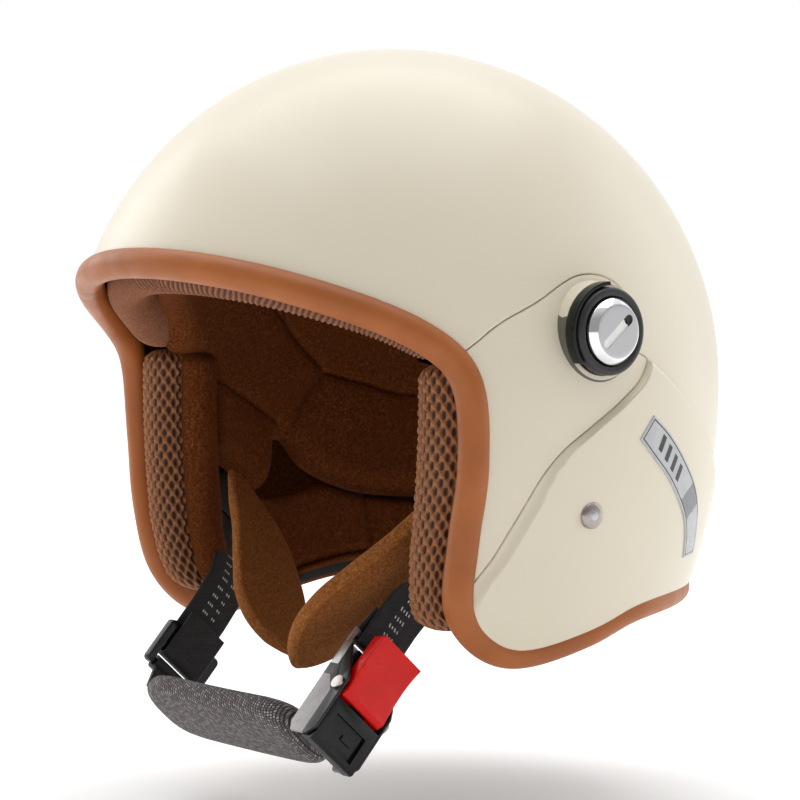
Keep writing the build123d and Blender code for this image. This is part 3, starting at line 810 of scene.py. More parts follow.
# ---- outer shell, raised band and side plates ---------------------------------------------------
rim = smooth_line(RIM, 1.2)
band_front = smooth_line(BAND_FRONT, 1.2)
band_inner = smooth_line(BAND_INNER, 1.2)
band_top = smooth_line([BAND_FRONT[0]] + BAND_TOP, 1.2)
band_outer_loop = np.vstack([band_front, [(-60, -200), (200, -200), (200, -53)], band_top[::-1]])
TOP_ROUND = 2.6             # radius of the band's top edge
LEDGE = 1.2                 # depth of the seat under a side plate
INNER_WALL = -4.6
LINING = -38.0              # the egg's layer that the lining is built on
band_inner_loop = np.vstack([band_inner, [(-10, -200), (200, -200), (200, -54)],
                             shifted(band_top, -0.02)[1:][::-1]])
KEEP_RIM = shifted(rim, 1.0)
shell_loop = np.vstack([KEEP_RIM, [(FAR, -87), (FAR, FAR), (-FAR, FAR), (-FAR, 70)]])


def band_height(yz):
    """Rise of the lower band: a bevel between its outer and inner lines."""
    outer, inner = signed(yz, band_outer_loop), signed(yz, band_inner_loop)
    share = np.clip(outer, 0, None) / np.maximum(np.clip(outer, 0, None)
                                                 + np.clip(-inner, 0, None), 1e-6)
    share = np.where(outer <= 0, 0, np.where(inner >= 0, 1, share))
    share = step_up(share * (1.3 + 1.2 * step_up((yz[:, 1] + 40) / 25)) * 0.5) * 2
    share = np.clip(share, 0, 1)
    down = distance_to(yz, band_top) / TOP_ROUND
    top = np.where(outer > 0, quarter(down), 0)
    return BAND_RISE * np.minimum(0.75 * share + 0.25 * step_up(share), top)


def shell_height(yz):
    """The band's rise, and the step down to the ledge under each side plate."""
    d = signed(yz, plate_loop)
    edge = np.clip(1 + d / 0.6, 0, 1)
    drop = np.where(d < 0, 0.4 * edge ** 2, LEDGE)
    return band_height(yz) * np.where(d < 0, 1, 0) - drop


def offsets(line, *distances):
    return [shifted(line, d) for d in distances]


plate_edge = smooth_line(PLATE_TOP + BAND_FRONT[1:], 0.9)
plate_loop = np.vstack([plate_edge, PLATE_FRONT])
shell = egg_skin(
    "outer_shell_skin", shell_loop,
    offsets(band_top, -0.08, -0.3, -0.7, -1.2, -1.8, -2.6, -3.4, 0.0, 0.6)
    + offsets(band_front, 2.0, 3.0, 4.0, 5.0) + offsets(band_inner, 0.0, 0.5, -0.6, -1.4)
    + offsets(plate_edge, -0.02, 0.25, 0.6, 1.2) + [KEEP_RIM, plate_edge], 5.0, 0.0, shell_height)
settle(shell, "helmet", PAINT, ["outer_shell"])

wall = egg_skin("shell_inner_wall", shell_loop, [KEEP_RIM], 7.0, INNER_WALL, lambda yz: 0 * yz[:, 0],
                inward=True)
settle(wall, "helmet", SUEDE)


def plate_height(yz):
    """Side plate: level with the shell, with its edge turned down into the seam."""
    d = signed(yz, plate_loop)
    return -LEDGE * np.clip(1 - (d - 0.25) / 0.55, 0, 1) ** 2


BOSS_FACE = 125.6


def boss(points):
    """Raises the round seat of the visor pivot."""
    r = np.hypot(points[:, 1] - PIVOT[0], points[:, 2] - PIVOT[1])
    t = step_up((19.35 - r) / 0.7)
    x = points[:, 0]
    return np.column_stack([x + (np.maximum(x, BOSS_FACE) - x) * t, points[:, 1:]])


def ring(radius, step=1.2, centre=PIVOT):
    return circle(turns_of(max(12, int(2 * math.pi * radius / step))), radius, centre)


plate_inner = shifted(plate_edge, -0.25)
open_face = np.vstack([KEEP_RIM, [(FAR, -87), (FAR, -FAR), (-FAR, -FAR), (-FAR, 70)]])
plate_left = egg_skin(
    "side_plate_left_skin", np.vstack([plate_inner, PLATE_FRONT]),
    offsets(plate_edge, -0.25, -0.45, -0.65, -0.9, -1.6) + [KEEP_RIM]
    + [shut(ring(r)) for r in (18.6, 18.8, 19.0, 19.2, 19.4, 20.2)],
    4.0, 0.0, plate_height, drop=open_face, both=False, warp=boss)
# The boss wall's arc that faces front and down gets SHADE: painted shade on the side turned away from
# the light.
centres = face_centres(plate_left)[:, 1:] - PIVOT
away = np.hypot(centres[:, 0], centres[:, 1])
painted_shade_wall = (away > 18.6) & (away < 19.4) & (centres @ np.array([-0.5, -0.87]) > 4)
slot_faces(plate_left, painted_shade_wall)
settle_pair(plate_left, "helmet", (PAINT, SHADE), "side_plate_{}")

# ---- edge trim: a round leather bead along the rim ----------------------------------------------


def inside_egg(line):
    """The points of a side view line that lie on the egg."""
    _, b, c = axes(line[:, 0], line[:, 1], 0.0)
    return line[np.hypot(line[:, 0] / b, line[:, 1] / c) < 1]


def rim_path(grow, step):
    """The whole rim at a layer of the egg, as a closed line."""
    half = lift(to_unit(inside_egg(rim), 0.0), grow)
    half[0, 0], half[-1, 0] = max(half[0, 0], 0), max(half[-1, 0], 0)
    return even(shut(both_sides(half)), step)[:-1]


def surface_normal(points, grow):
    a, b, c = axes(points[:, 1], points[:, 2], grow)
    return unit_rows(points / np.column_stack([np.full(len(points), a), b, c]) ** 2)


def settle_line(line, rounds):
    """Evens out a closed line a little."""
    for _ in range(rounds):
        line = (np.roll(line, 1, 0) + 2 * line + np.roll(line, -1, 0)) / 4
    return line


BEAD_LAYER = -2.0
BEAD_SIDE, BEAD_UP = 6.0, 5.95
bead_path = settle_line(rim_path(BEAD_LAYER, 2.0), 6)
bead_up = surface_normal(bead_path, BEAD_LAYER)
along = unit_rows(np.roll(bead_path, -1, 0) - np.roll(bead_path, 1, 0))
bead_side = unit_rows(np.cross(along, bead_up))
bead_up = np.cross(bead_side, along)
bead_section = circle(turns_of(40), 1.0) * (BEAD_SIDE, BEAD_UP)
bead = sweep("edge_trim_bead", bead_path, bead_side, bead_up, lambda i: bead_section, closed=True)
settle(bead, "helmet", LEATHER, ["edge_trim"])

# ---- lining -------------------------------------------------------------------------------------
WING_TOP = [(-50, 13), (-36, 4), (-23, -3), (-6, -13), (4, -20), (9, -25)]
SEAM_A = [(0, 70), (2, 45), (8, 23), (19, 11), (27, 2), (21, -6), (13, -19), (9, -25)]
SEAM_B = [(27, 2), (48, -4), (60, -8), (72, -8), (110, -8)]
SEAM_UP = [(8, 23), (-10, 40), (-30, 62), (-44, 90)]
LINER_TEMPLE = [(-34, 6), (-31, -5)]
LINER_EDGE = [(-31, -29), (-27, -33), (-17, -40), (-10, -45.5), (-6, -47), (-2, -45), (2, -38),
              (5, -27), (9, -27), (16, -37), (26, -44), (43, -50), (70, -52), (110, -52), (150, -52)]
NECK_TOP = [(-8, -51), (3, -50), (13, -48.5), (22, -46.5), (36, -50.5), (50, -53.5), (70, -54.5),
            (150, -54.5)]
NECK_FOOT = [(4, -88), (23, -84.5), (40, -82.5), (56, -82.5), (78, -82), (150, -84)]
PIPE_TOP = [(2, -82.5), (12, -80.5), (25, -78), (43, -76), (62, -77), (100, -78), (150, -78)]
NECK_SEAM = [(42, -50), (41.6, -65), (41, -79)]


def groove(yz, line, depth, width):
    return depth * np.exp(-(distance_to(yz, line) / width) ** 2)


def rolled(d, radius):
    """How far a padded edge falls away within radius of its border."""
    t = np.clip(d, 0, radius)
    return radius - np.sqrt(np.clip(radius ** 2 - (radius - t) ** 2, 0, None))


liner_front = shifted(rim, 7.0)[(rim[:, 1] > 9) & (rim[:, 0] > -146)]
liner_edge = smooth_line(LINER_EDGE, 1.5)
liner_loop = np.vstack([LINER_TEMPLE, liner_edge, [(FAR, -52), (FAR, FAR), (-FAR, FAR)],
                        liner_front])
seams = [smooth_line(s, 1.5) for s in (WING_TOP, SEAM_A, SEAM_B, SEAM_UP)]


def liner_height(yz):
    near = np.min([distance_to(yz, line) for line in seams], 0)
    rise = 1.6 * np.exp(-(near / 1.1) ** 2) + 2.0 * np.exp(-(near / 7.0)) - 1.6
    return rise + rolled(signed(yz, liner_loop), 9.0) * 1.15


liner = egg_skin(
    "crown_liner_panels", liner_loop,
    [np.vstack([liner_front, LINER_TEMPLE, liner_edge])]
    + offsets(liner_edge, 0.15, 0.6, 1.4, 2.6, 4.4, 7) + seams
    + [shifted(s, d) for s in seams for d in (-0.8, 0.8, 2.0, -2.0)],
    3.0, LINING, liner_height, inward=True)
settle(liner, "helmet", SUEDE, ["crown_liner"])

neck_top = smooth_line(NECK_TOP, 1.5)
neck_foot = smooth_line(NECK_FOOT, 1.5)
neck_loop = np.vstack([neck_top, [(FAR, -56), (FAR, -84)], neck_foot[::-1]])
pipe_top = smooth_line(PIPE_TOP, 1.5)
neck_seam = smooth_line(NECK_SEAM, 1.5)


def neck_height(yz):
    d = signed(yz, neck_loop)
    seam = groove(yz, neck_seam, 1.8, 1.0) + groove(yz, pipe_top, 2.4, 0.8)
    pipe = 1.0 * np.exp(-(np.abs(distance_to(yz, pipe_top) - 2.6) / 1.6) ** 2) * (
        yz[:, 1] < np.interp(yz[:, 0], pipe_top[:, 0], pipe_top[:, 1]))
    return seam - pipe + rolled(d, 5.0) * 1.2


neck = egg_skin("neck_pad_roll", neck_loop,
                [neck_top, neck_foot, np.array([neck_top[0], neck_foot[0]])]
                + offsets(neck_top, -0.15, -0.6, -1.5, -3) + offsets(neck_foot, 0.15, 0.5, 1.2, 2.4)
                + [neck_seam, pipe_top] + offsets(pipe_top, -0.7, -1.5, -2.6, -3.6, 0.7)
                + offsets(neck_seam, 0.7, -0.7, 1.6, -1.6),
                3.0, LINING, neck_height, inward=True)
foot_centres = side_view(to_unit(face_centres(neck)[:, 1:], LINING), LINING)
slot_faces(neck, distance_to(foot_centres, neck_foot) < 2.2)
settle(neck, "helmet", (SUEDE, EDGE_BLACK), ["neck_pad"])

# ---- brow band: ribbed roll inside the bead -----------------------------------------------------


def open_rim(grow, offset, low):
    """The rim's front stretch above a height, from the wearer's left temple to the right."""
    line = inside_egg(shifted(rim, offset))
    line = line[(line[:, 1] > low) & (line[:, 0] < 0)]
    return lift(to_unit(line, 0.0), grow)[::-1]


def brow_roll():
    """Stuffed ribbed roll behind the bead: slim over the brow, broad at the temples."""
    layer = -18.0
    path = even(both_sides(open_rim(layer, 5.0, 13.0)), 0.4)
    up = surface_normal(path, layer)
    d = unit_rows(np.gradient(path, axis=0))
    side = unit_rows(np.cross(d, up))
    up = np.cross(side, d)
    run = lengths(path)
    total = run[-1]
    a = turns_of(120)
    to_end = np.minimum(run, total - run)
    share = step_up((to_end - 25) / 50)
    turns = np.concatenate([[0], np.cumsum(np.diff(run) / (1.9 + 0.7 * share[1:]))])
    ridges = []

    def section(i):
        end, brow_share = to_end[i], share[i]
        low, high = -9.5 - 0.8 * brow_share, 16.0 - 4 * brow_share
        deep = 13.5 - 4.0 * brow_share
        tip = 0.2 + 0.8 * quarter(end / 18.0)
        hand = 1 if run[i] < total / 2 else -1
        wave = 0.5 + 0.5 * np.cos((turns[i] + hand * 1.6 * brow_share * np.sin(a)
                                   + 0.12 * np.sin(4 * a + run[i] * 0.3)) * 2 * math.pi)
        ridges.append(wave)
        r = (1 - 0.055 * (1 - wave)) * tip
        middle = (low + high) / 2 + 7 * (1 - min(end / 22.0, 1)) ** 2
        half = (high - low) / 2
        return np.stack([middle + half * np.cos(a) * r, deep * np.sin(a) * r], 1)

    obj = sweep("brow_band_roll", path, side, up, section)
    # ridge is 1 on the ribs and 0 in the hollows, where the rib knit is painted with shade.
    field = obj.data.attributes.new("ridge", "FLOAT", "POINT")
    field.data.foreach_set("value", np.concatenate(ridges).astype(np.float32))
    return obj


settle(brow_roll(), "helmet", RIB, ["brow_band"])


# ---- cheek bolsters -----------------------------------------------------------------------------


def bolster(name, outline, back, top, bottom, limit, step_s, step_z, puff, tone=None):
    """A closed roll through a plan outline that narrows with the shell, rounded off at its ends."""
    loop = smooth_line(outline, 0.25, closed=True)
    loop = even(shut(loop), step_s)[:-1]
    centre = loop.mean(0)
    s = np.arange(len(loop)) * step_s
    count = int(abs(top - bottom) / step_z)
    heights = np.linspace(top, bottom, count)
    d = unit_rows(np.roll(loop, -1, 0) - np.roll(loop, 1, 0))
    out = np.stack([d[:, 1], -d[:, 0]], 1)
    if ((loop - centre) * out).sum() < 0:
        out = -out
    verts, tones = [], []
    for z in heights:
        end = min(top - z, z - bottom)
        full = quarter(end / 7.0)
        narrow = math.sqrt(1 - (min(z, 0) / LOWER_DROP) ** 2)
        plan = centre + (loop - centre) * (0.12 + 0.88 * full) + out * puff * full
        x, y = plan[:, 0] * narrow, plan[:, 1] + np.interp(z, *zip(*back))
        cover = lift(to_unit(np.stack([y, np.full(len(y), z)], 1), limit), limit)[:, 0]
        x = np.minimum(x, cover)
        if tone:
            value, press = tone(s, z)
            x, y = x - out[:, 0] * press * full, y - out[:, 1] * press * full
            tones.append(value)
        verts.append(np.stack([x, y, np.full(len(x), z)], 1))
    return tube(name, verts, tones={"solid": np.concatenate(tones)} if tone else None)


def holes(s, z):
    """Diamond lattice of oval holes in the mesh: (how solid, how deep). The mesh is painted with shade
    where it is not solid.
    """
    pitch_s, pitch_z, hole_s, hole_z = 4.6, 6.4, 1.05, 1.75
    best = np.full(len(s), 9.0)
    for shift in (0.0, 0.5):
        ds = (s / pitch_s + shift + 0.5) % 1 - 0.5
        dz = (z / pitch_z + shift + 0.5) % 1 - 0.5
        best = np.minimum(best, np.hypot(ds * pitch_s / hole_s, dz * pitch_z / hole_z))
    solid = step_up((best - 0.75) / 0.45)
    web = step_up((best - 0.75) / 0.9)
    return solid, 1.5 * (1 - web)


MESH_PLAN = [(84.2, -50), (86, -55.5), (90.8, -58.2), (97, -58.4), (102.5, -56), (106, -50),
             (107, -42.2), (97, -42), (87.4, -42)]
MESH_BACK = [(-92, 12), (-88, 8), (-83, 4.6), (-75, 2), (-60, 0)]
PAD_PLAN = [(83.6, -48.6), (79, -46.8), (76.4, -42.5), (77.6, -36.5), (83, -32), (98, -31.6),
            (113, -31.6), (114, -41.6), (99, -41.6), (87, -41.8)]
PAD_BACK = [(-92, 6), (-80, 2), (-65, 0)]
mesh_left = bolster("cheek_mesh_left_roll", MESH_PLAN, MESH_BACK, 13, -91, -8.3, 0.55, 0.65,
                    0.4, holes)
settle_pair(mesh_left, "helmet", MESH, "cheek_mesh_{}")
pad_left = bolster("cheek_pad_left_cover", PAD_PLAN, PAD_BACK, 13.5, -89, -5.2, 1.5, 2.0,
                   0.3)
settle_pair(pad_left, "helmet", SUEDE, "cheek_pad_{}")

# ---- visor pivots -------------------------------------------------------------------------------
CAP_FACE, SLOT_FLOOR, FACE_RADIUS = 134.5, 133.9, 10.2
CAP_RIM = [(128.3, 0.0), (128.3, 12.3), (128.6, 12.7), (129.2, 12.85), (131.9, 12.85),
           (132.3, 12.7), (134.1, 10.9), (134.4, 10.6), (CAP_FACE, FACE_RADIUS)]


def pivot_cap():
    """Screw cap: bright bevel round a brushed face with a coin slot. The slot floor is painted light,
    with painted shadow at its far end.
    """
    rim_part = lathe("cap_rim", CAP_RIM, PIVOT)
    a = math.radians(40.0)
    slot_half, slot_end, shadow_from = 1.9, 9.0, 5.6
    arcs = np.concatenate([np.linspace(-math.pi / 2, math.pi / 2, 9),
                           np.linspace(math.pi / 2, 3 * math.pi / 2, 9)])
    cx = np.concatenate([np.full(9, slot_end - slot_half), np.full(9, -(slot_end - slot_half))])
    local = np.stack([cx + slot_half * np.cos(arcs), slot_half * np.sin(arcs)], 1)
    turn = np.array([[math.cos(a), -math.sin(a)], [math.sin(a), math.cos(a)]])
    slot_line = even(shut(local @ turn.T), 0.4)[:-1]
    flat_loop = ring(FACE_RADIUS, 0.5, (0.0, 0.0))

    def flat(name, loop, rows, x, keep):
        uv, faces = triangulate(loop, rows, 1.0, keep)
        return make(name, at_x(x, uv + PIVOT), faces)
    face = flat("cap_face", flat_loop, [shut(slot_line)], CAP_FACE,
                lambda p: ~within(p, slot_line))
    slot = make("cap_slot", np.vstack([at_x(x, slot_line + PIVOT) for x in (CAP_FACE, SLOT_FLOOR)]),
                ring_faces(2, len(slot_line), caps=False))
    # The slot floor is painted light up to shadow_from and painted shadow beyond it.
    bright = flat("cap_slot_lit_floor", slot_line, [], SLOT_FLOOR,
                  lambda p: (p @ turn)[:, 0] < shadow_from)
    dark = flat("cap_slot_shadowed_end", slot_line, [], SLOT_FLOOR,
                lambda p: (p @ turn)[:, 0] >= shadow_from)
    return join("visor_screw_left_cap", [(rim_part, 0), (face, 1), (slot, 0), (bright, 2), (dark, 3)])


def join(name, parts):
    """One object out of several, each with its own material slot."""
    bm = bmesh.new()
    for obj, slot in parts:
        before = len(bm.faces)
        bm.from_mesh(obj.data)
        bm.faces.ensure_lookup_table()
        for face in bm.faces[before:]:
            face.material_index = slot
        bpy.data.objects.remove(obj)
    mesh = bpy.data.meshes.new(name)
    bm.to_mesh(mesh)
    bm.free()
    obj = edit(add(name, mesh), merge_doubles)
    crease(obj, 28)
    return obj


settle_pair(pivot_cap(), "visor_screw_{}", (CHROME, BRUSHED, SLOT_PAINTED_LIGHT, DARK_STEEL_AND_SLOT_SHADOW),
            "visor_screw_{}")
COLLAR = [(126.7, 7.0), (126.7, 16.3), (126.95, 16.6), (127.3, 16.75), (129.9, 16.75),
          (130.6, 16.6), (131.15, 16.2), (131.45, 15.6), (131.5, 15.0), (131.45, 14.2),
          (131.2, 13.7), (130.8, 13.3), (130.2, 13.2), (128.1, 13.2), (128.0, 7.0)]
collar_left = lathe("visor_collar_left_ring", COLLAR, PIVOT)
crease(collar_left, 40)
settle_pair(collar_left, "visor_collar_{}", SATIN, "visor_collar_{}")

RIVET_HEAD = [(125.6, 0.0), (125.55, 2.0), (125.4, 3.4), (125.15, 4.2), (124.8, 4.8), (124.3, 5.15),
              (123.8, 5.25), (123.2, 5.25), (122.0, 5.1)]
settle_pair(lathe("strap_rivet_left_head", RIVET_HEAD, RIVET, segments=64), "helmet", NICKEL)

# ---- label --------------------------------------------------------------------------------------
LABEL = [(30, -8), (41.5, -15.7), (56.5, -28.4), (67.4, -38.9), (72.8, -47), (76.8, -58),
         (78.8, -67), (67.2, -67.5), (64.6, -59.5), (61, -52.3), (57.5, -47.8), (50.5, -40.8),
         (42.4, -33.4), (30.4, -24.1), (21.9, -17)]
LABEL_AXIS = np.array([0.55, -0.83])
LABEL_LINE = (0.95, 1.5)    # the inset outline's distances from the edge
LABEL_BLOCK = (65.5, 77.0)  # where the darker block lies along the label's axis
BAR = np.array([(0, 3.2), (2.4, 1.5), (-0.8, -4.4), (-3.2, -2.7)])


def label_piece():
    """Silver label with an inset outline, plain bars and a darker block."""
    edge_up = smooth_line(LABEL[:7], 0.8)
    edge_down = smooth_line(LABEL[7:], 0.8)
    loop = np.vstack([edge_up, even([LABEL[6], LABEL[7]], 0.8)[1:-1], edge_down,
                      even([LABEL[-1], LABEL[0]], 0.8)[1:-1]])
    closed = shut(loop)

    def height(yz):
        return 0.5 * quarter(signed(yz, loop) / 0.4)
    rows = [closed] + [shifted(closed, -d) for d in (0.15, 0.4, *LABEL_LINE)]
    marks = [even(shut(BAR + (36.5 + 4.6 * k, -18.6 - 4.1 * k)), 0.7) for k in range(4)]
    across = np.array([-LABEL_AXIS[1], LABEL_AXIS[0]])
    cuts = [even([t * LABEL_AXIS + across * k for k in (5.0, 75.0)], 0.8) for t in LABEL_BLOCK]
    obj = egg_skin("label_left_plate", loop, rows + marks + cuts, 1.4, BAND_RISE + 0.06, height,
                   both=False)
    centre = face_centres(obj)[:, 1:]
    d = signed(centre, loop)
    t = centre @ LABEL_AXIS
    index = np.where((d > LABEL_LINE[0]) & (d < LABEL_LINE[1]), 1, 0)
    index[(d > LABEL_LINE[1]) & (t > LABEL_BLOCK[0]) & (t < LABEL_BLOCK[1])] = 2
    for mark in marks:
        index[within(centre, mark[:-1])] = 1
    slot_faces(obj, index)
    return obj


settle_pair(label_piece(), "helmet", (LABEL_GREY, INK, LABEL_DARK), "label_{}")

# ---- chin strap, in its own plane ---------------------------------------------------------------
TILT = math.radians(42)
DOWN = np.array([0, -math.sin(TILT), -math.cos(TILT)])
ACROSS = np.array([0, math.cos(TILT), -math.sin(TILT)])
ORIGIN = np.array([0, *RIVET])


def strap_point(x, drop, across):
    x, drop, across = np.broadcast_arrays(np.asarray(x, float), drop, across)
    return ORIGIN + x[..., None] * np.array([1.0, 0, 0]) + drop[..., None] * DOWN \
        + across[..., None] * ACROSS


def filleted(points, radii):
    """A polyline with its corners rounded."""
    pts = [np.array(p, float) for p in points]
    line = [pts[0]]
    for i in range(1, len(pts) - 1):
        a, b, c = pts[i - 1], pts[i], pts[i + 1]
        u, v = (a - b) / np.linalg.norm(a - b), (c - b) / np.linalg.norm(c - b)
        angle = math.acos(np.clip(u @ v, -1, 1))
        cut = radii[i - 1] / math.tan(angle / 2)
        start, finish = b + u * cut, b + v * cut
        mid = b + (u + v) / np.linalg.norm(u + v) * radii[i - 1] / math.sin(angle / 2)
        a0 = math.atan2(*(start - mid)[::-1])
        a1 = math.atan2(*(finish - mid)[::-1])
        turn = (a1 - a0 + math.pi) % (2 * math.pi) - math.pi
        line.extend(mid + radii[i - 1] * np.array([math.cos(a0 + turn * t), math.sin(a0 + turn * t)])
                    for t in np.linspace(0, 1, 12))
    line.append(pts[-1])
    return even(line, 0.8)


WEB_HALF, WEB_THICK = 11.0, 1.6


def webbing_piece(name, line):
    """Flat woven strap along a line in the strap plane, with rounded selvedges."""
    normal = left_of(line)
    t = np.linspace(-1, 1, 45)
    cord = 0.05 * np.cos(t * math.pi * 22)
    edge = np.sqrt(np.clip(1 - np.clip((np.abs(t) - 0.93) / 0.07, 0, 1) ** 2, 0.02, None))
    top = np.stack([t * WEB_HALF, (WEB_THICK / 2 + cord) * edge], 1)
    ring_shape = np.vstack([top, (top * [1, -1])[::-1]])
    verts, uvs = [], []
    run = lengths(line)
    for i, (x, drop) in enumerate(line):
        verts.append(strap_point(x + ring_shape[:, 1] * normal[i, 0],
                                 drop + ring_shape[:, 1] * normal[i, 1], ring_shape[:, 0]))
        uvs.append(np.stack([ring_shape[:, 0], np.full(len(ring_shape), run[i])], 1))
    return tube(name, verts, uvs)


def ticks_piece(name, line, places):
    """Small printed dashes that lie on the webbing: places are (along, across, length, slant)."""
    run, normal = lengths(line), left_of(line)
    if normal[len(line) // 2, 0] < 0:
        normal = -normal
    verts, faces = [], []
    for along_at, across, length, slant in places:
        b = len(verts)
        for ds, da in ((-0.5, -0.28), (0.5, -0.28), (0.5, 0.28), (-0.5, 0.28)):
            s = along_at + ds * length
            x, drop = np.interp(s, run, line[:, 0]), np.interp(s, run, line[:, 1])
            nx, nd = np.interp(s, run, normal[:, 0]), np.interp(s, run, normal[:, 1])
            for lift_by in (WEB_THICK / 2 + 0.02, WEB_THICK / 2 + 0.12):
                verts.append(strap_point(x + nx * lift_by, drop + nd * lift_by,
                                         across + da + slant * ds * length))
        faces += [(b + 1, b + 3, b + 5, b + 7), (b, b + 2, b + 3, b + 1), (b + 2, b + 4, b + 5, b + 3),
                  (b + 4, b + 6, b + 7, b + 5), (b + 6, b, b + 1, b + 7)]
    return edit(make(name, np.array(verts).reshape(-1, 3), faces, smooth=False))


def hanger_loop(side):
    """The strap's start through the hanger's slot."""
    return [(side * x, drop) for x, drop in ((86, 36.3), (98, 29.9), (107.9, 27), (107.9, 20))]


left_down = filleted(hanger_loop(1) + [(103.2, 20), (103.2, 26.5), (57.6, 50.6), (56.4, 60),
                                       (56.4, 77.7), (52, 77.7), (52, 71), (54.1, 61.5)],
                     [4, 2, 1.6, 1.6, 3, 8, 8, 1.6, 1.6, 4])
right_down = filleted(hanger_loop(-1) + [(-103.2, 20), (-103.2, 26.5), (-72, 43), (-64.5, 56),
                                         (-62.9, 72), (-62.9, 99), (-57.1, 99), (-57.1, 78)],
                      [4, 2, 1.6, 1.6, 3, 12, 8, 8, 1.6, 1.6])
for name, line in (("left", left_down), ("right", right_down)):
    settle(webbing_piece(f"webbing_{name}_strap", line), f"strap_{name}", WEBBING,
           [f"webbing_{name}"])


def along_of(line, x, drop):
    return lengths(line)[np.argmin(np.hypot(line[:, 0] - x, line[:, 1] - drop))]


near = along_of(left_down, 57, 52)
near_marks = [(near - 1 + 4.2 * row, -3.0 + 1.6 * col, 1.1 + 0.5 * ((row + col) % 2), 0.25)
              for row in range(5) for col in range(4)]
far = along_of(right_down, -63.2, 68)
far_marks = [(far - 26 + 4.3 * row, across, 1.0, 0.2) for row in range(10)
             for across in (-3.6, -2.4, -1.2, 2.2, 3.4)]
for name, line, marks in (("left", left_down, near_marks), ("right", right_down, far_marks)):
    settle(ticks_piece(f"webbing_{name}_ticks", line, marks), f"strap_{name}", TICKS)

# ---- chin pad -----------------------------------------------------------------------------------


def chin_pad_piece():
    """Stuffed sleeve: a flattened round section that fills out along its length."""
    half_long, half_wide, half_thick, drop = 50.0, 18.6, 6.6, 116.0
    tip = half_long - np.array([0.0, 0.3, 1.0, 2.0])
    xs = np.concatenate([-tip, np.linspace(-46.5, 46.5, 84), tip[::-1]])
    a = turns_of(96)
    verts, uvs, piping = [], [], []
    for x in xs:
        end = half_long - abs(x)
        half_w = half_wide * (quarter(end / 20.0) * 0.5 + 0.5)
        half_t = half_thick * (quarter(end / 9.0) * 0.62 + 0.38)
        sag = 0.5 * math.cos(x / half_long * math.pi / 2)
        power = 2 / 2.6
        across = half_w * np.sign(np.cos(a)) * np.abs(np.cos(a)) ** power
        thick = half_t * np.sign(np.sin(a)) * np.abs(np.sin(a)) ** power
        verts.append(strap_point(np.full(len(a), x), drop + sag + thick, across))
        piping.append((np.cos(a) > 0.965) * 1.0)
        uvs.append(np.stack([lengths(np.stack([across, thick], 1)),
                             np.full(len(a), x + half_long)], 1))
    return tube("chin_pad_sleeve", verts, uvs, {"piping": np.concatenate(piping)})


settle(chin_pad_piece(), "chin_section", TWILL, ["chin_pad"])

# ---- ear flaps ----------------------------------------------------------------------------------
LEAF = [(-1, 2), (-5, 12), (-9, 29), (-15, 47), (-19, 61), (-18, 75), (-11, 87), (0, 94), (8, 86),
        (13, 69), (14.5, 54), (14, 37), (9, 19), (3, 5)]
LEAN = math.radians(35.8)
FLAP_ROOT = np.array([74.5, -30.0, -37.0])
FLAP_ROLL = 2.65            # width of the rolled front edge


def flap_piece(name, side, swing, length, rear):
    """Suede leaf: a crowned face each side of a thick rolled edge. The edge's lighter suede is painted
    light.
    """
    loop = smooth_line([(y * rear if y > 0 else y, drop) for y, drop in LEAF], 1.0, closed=True)
    turn = math.radians(swing)
    spun = length * np.stack([loop[:, 0] * math.cos(turn) - loop[:, 1] * math.sin(turn),
                              loop[:, 0] * math.sin(turn) + loop[:, 1] * math.cos(turn)], 1)
    loop = clean_loop(even(shut(spun), 1.0)[:-1])
    closed = shut(loop)
    sign = 1 if within(shifted(closed, 0.5)[:1], loop)[0] else -1
    rows = [shifted(closed, sign * d) for d in (0.2, 0.5, 1.0, 1.9, 2.6, 3.2, 4.5, 7.0)]
    uv, faces = triangulate(loop, rows, 2.2)
    tip, top = np.argmax(loop[:, 1]), np.argmin(loop[:, 1])
    runs = [np.roll(loop, -min(tip, top), 0)[:abs(tip - top) + 1],
            np.roll(loop, -max(tip, top), 0)[:len(loop) - abs(tip - top) + 1]]
    runs.sort(key=lambda line: line[:, 0].mean())
    ahead, behind = distance_to(uv, runs[0]), distance_to(uv, runs[1])
    roll = 3.3 * quarter(ahead / 2.2)
    taper = np.clip(0.3 + 0.7 * behind / 14, 0, 1) * quarter(behind / 0.8)
    thick = roll * taper + 0.5 * step_up((ahead - 2.9) / 6) * taper
    thick = thick - 0.5 * np.exp(-((ahead - 2.8) / 0.5) ** 2) * taper
    border = signed(uv, loop) < 0.01
    thick = np.where(border, 0.0, thick)
    drop_dir = np.array([-side * math.sin(LEAN), 0, -math.cos(LEAN)])
    face_dir = np.array([-side * math.cos(LEAN), 0, math.sin(LEAN)])
    flat = FLAP_ROOT * (side, 1, 1) + uv[:, :1] * np.array([0, 1.0, 0]) + uv[:, 1:2] * drop_dir
    bulge = thick[:, None] * face_dir
    index = np.arange(len(uv)) + len(uv)
    index[border] = np.where(border)[0]
    faces = np.vstack([faces, index[faces][:, ::-1]])
    obj = make(name, np.vstack([flat + bulge, flat - bulge]), faces)
    centre_d = np.concatenate([ahead[faces[:len(faces) // 2]].mean(1)] * 2)
    # The rolled front edge gets the lighter suede: painted light.
    slot_faces(obj, centre_d < FLAP_ROLL)
    return edit(obj, drop_loose)


for node, side, swing, length, rear in (("ear_flap_left", 1, 22.0, 1.03, 1.6),
                                        ("ear_flap_right", -1, 2.5, 1.0, 1.0)):
    flap = flap_piece(f"{node}_leaf", side, swing, length, rear)
    settle(flap, node, (FLAP_FACE, FLAP_EDGE_LIT), [node])

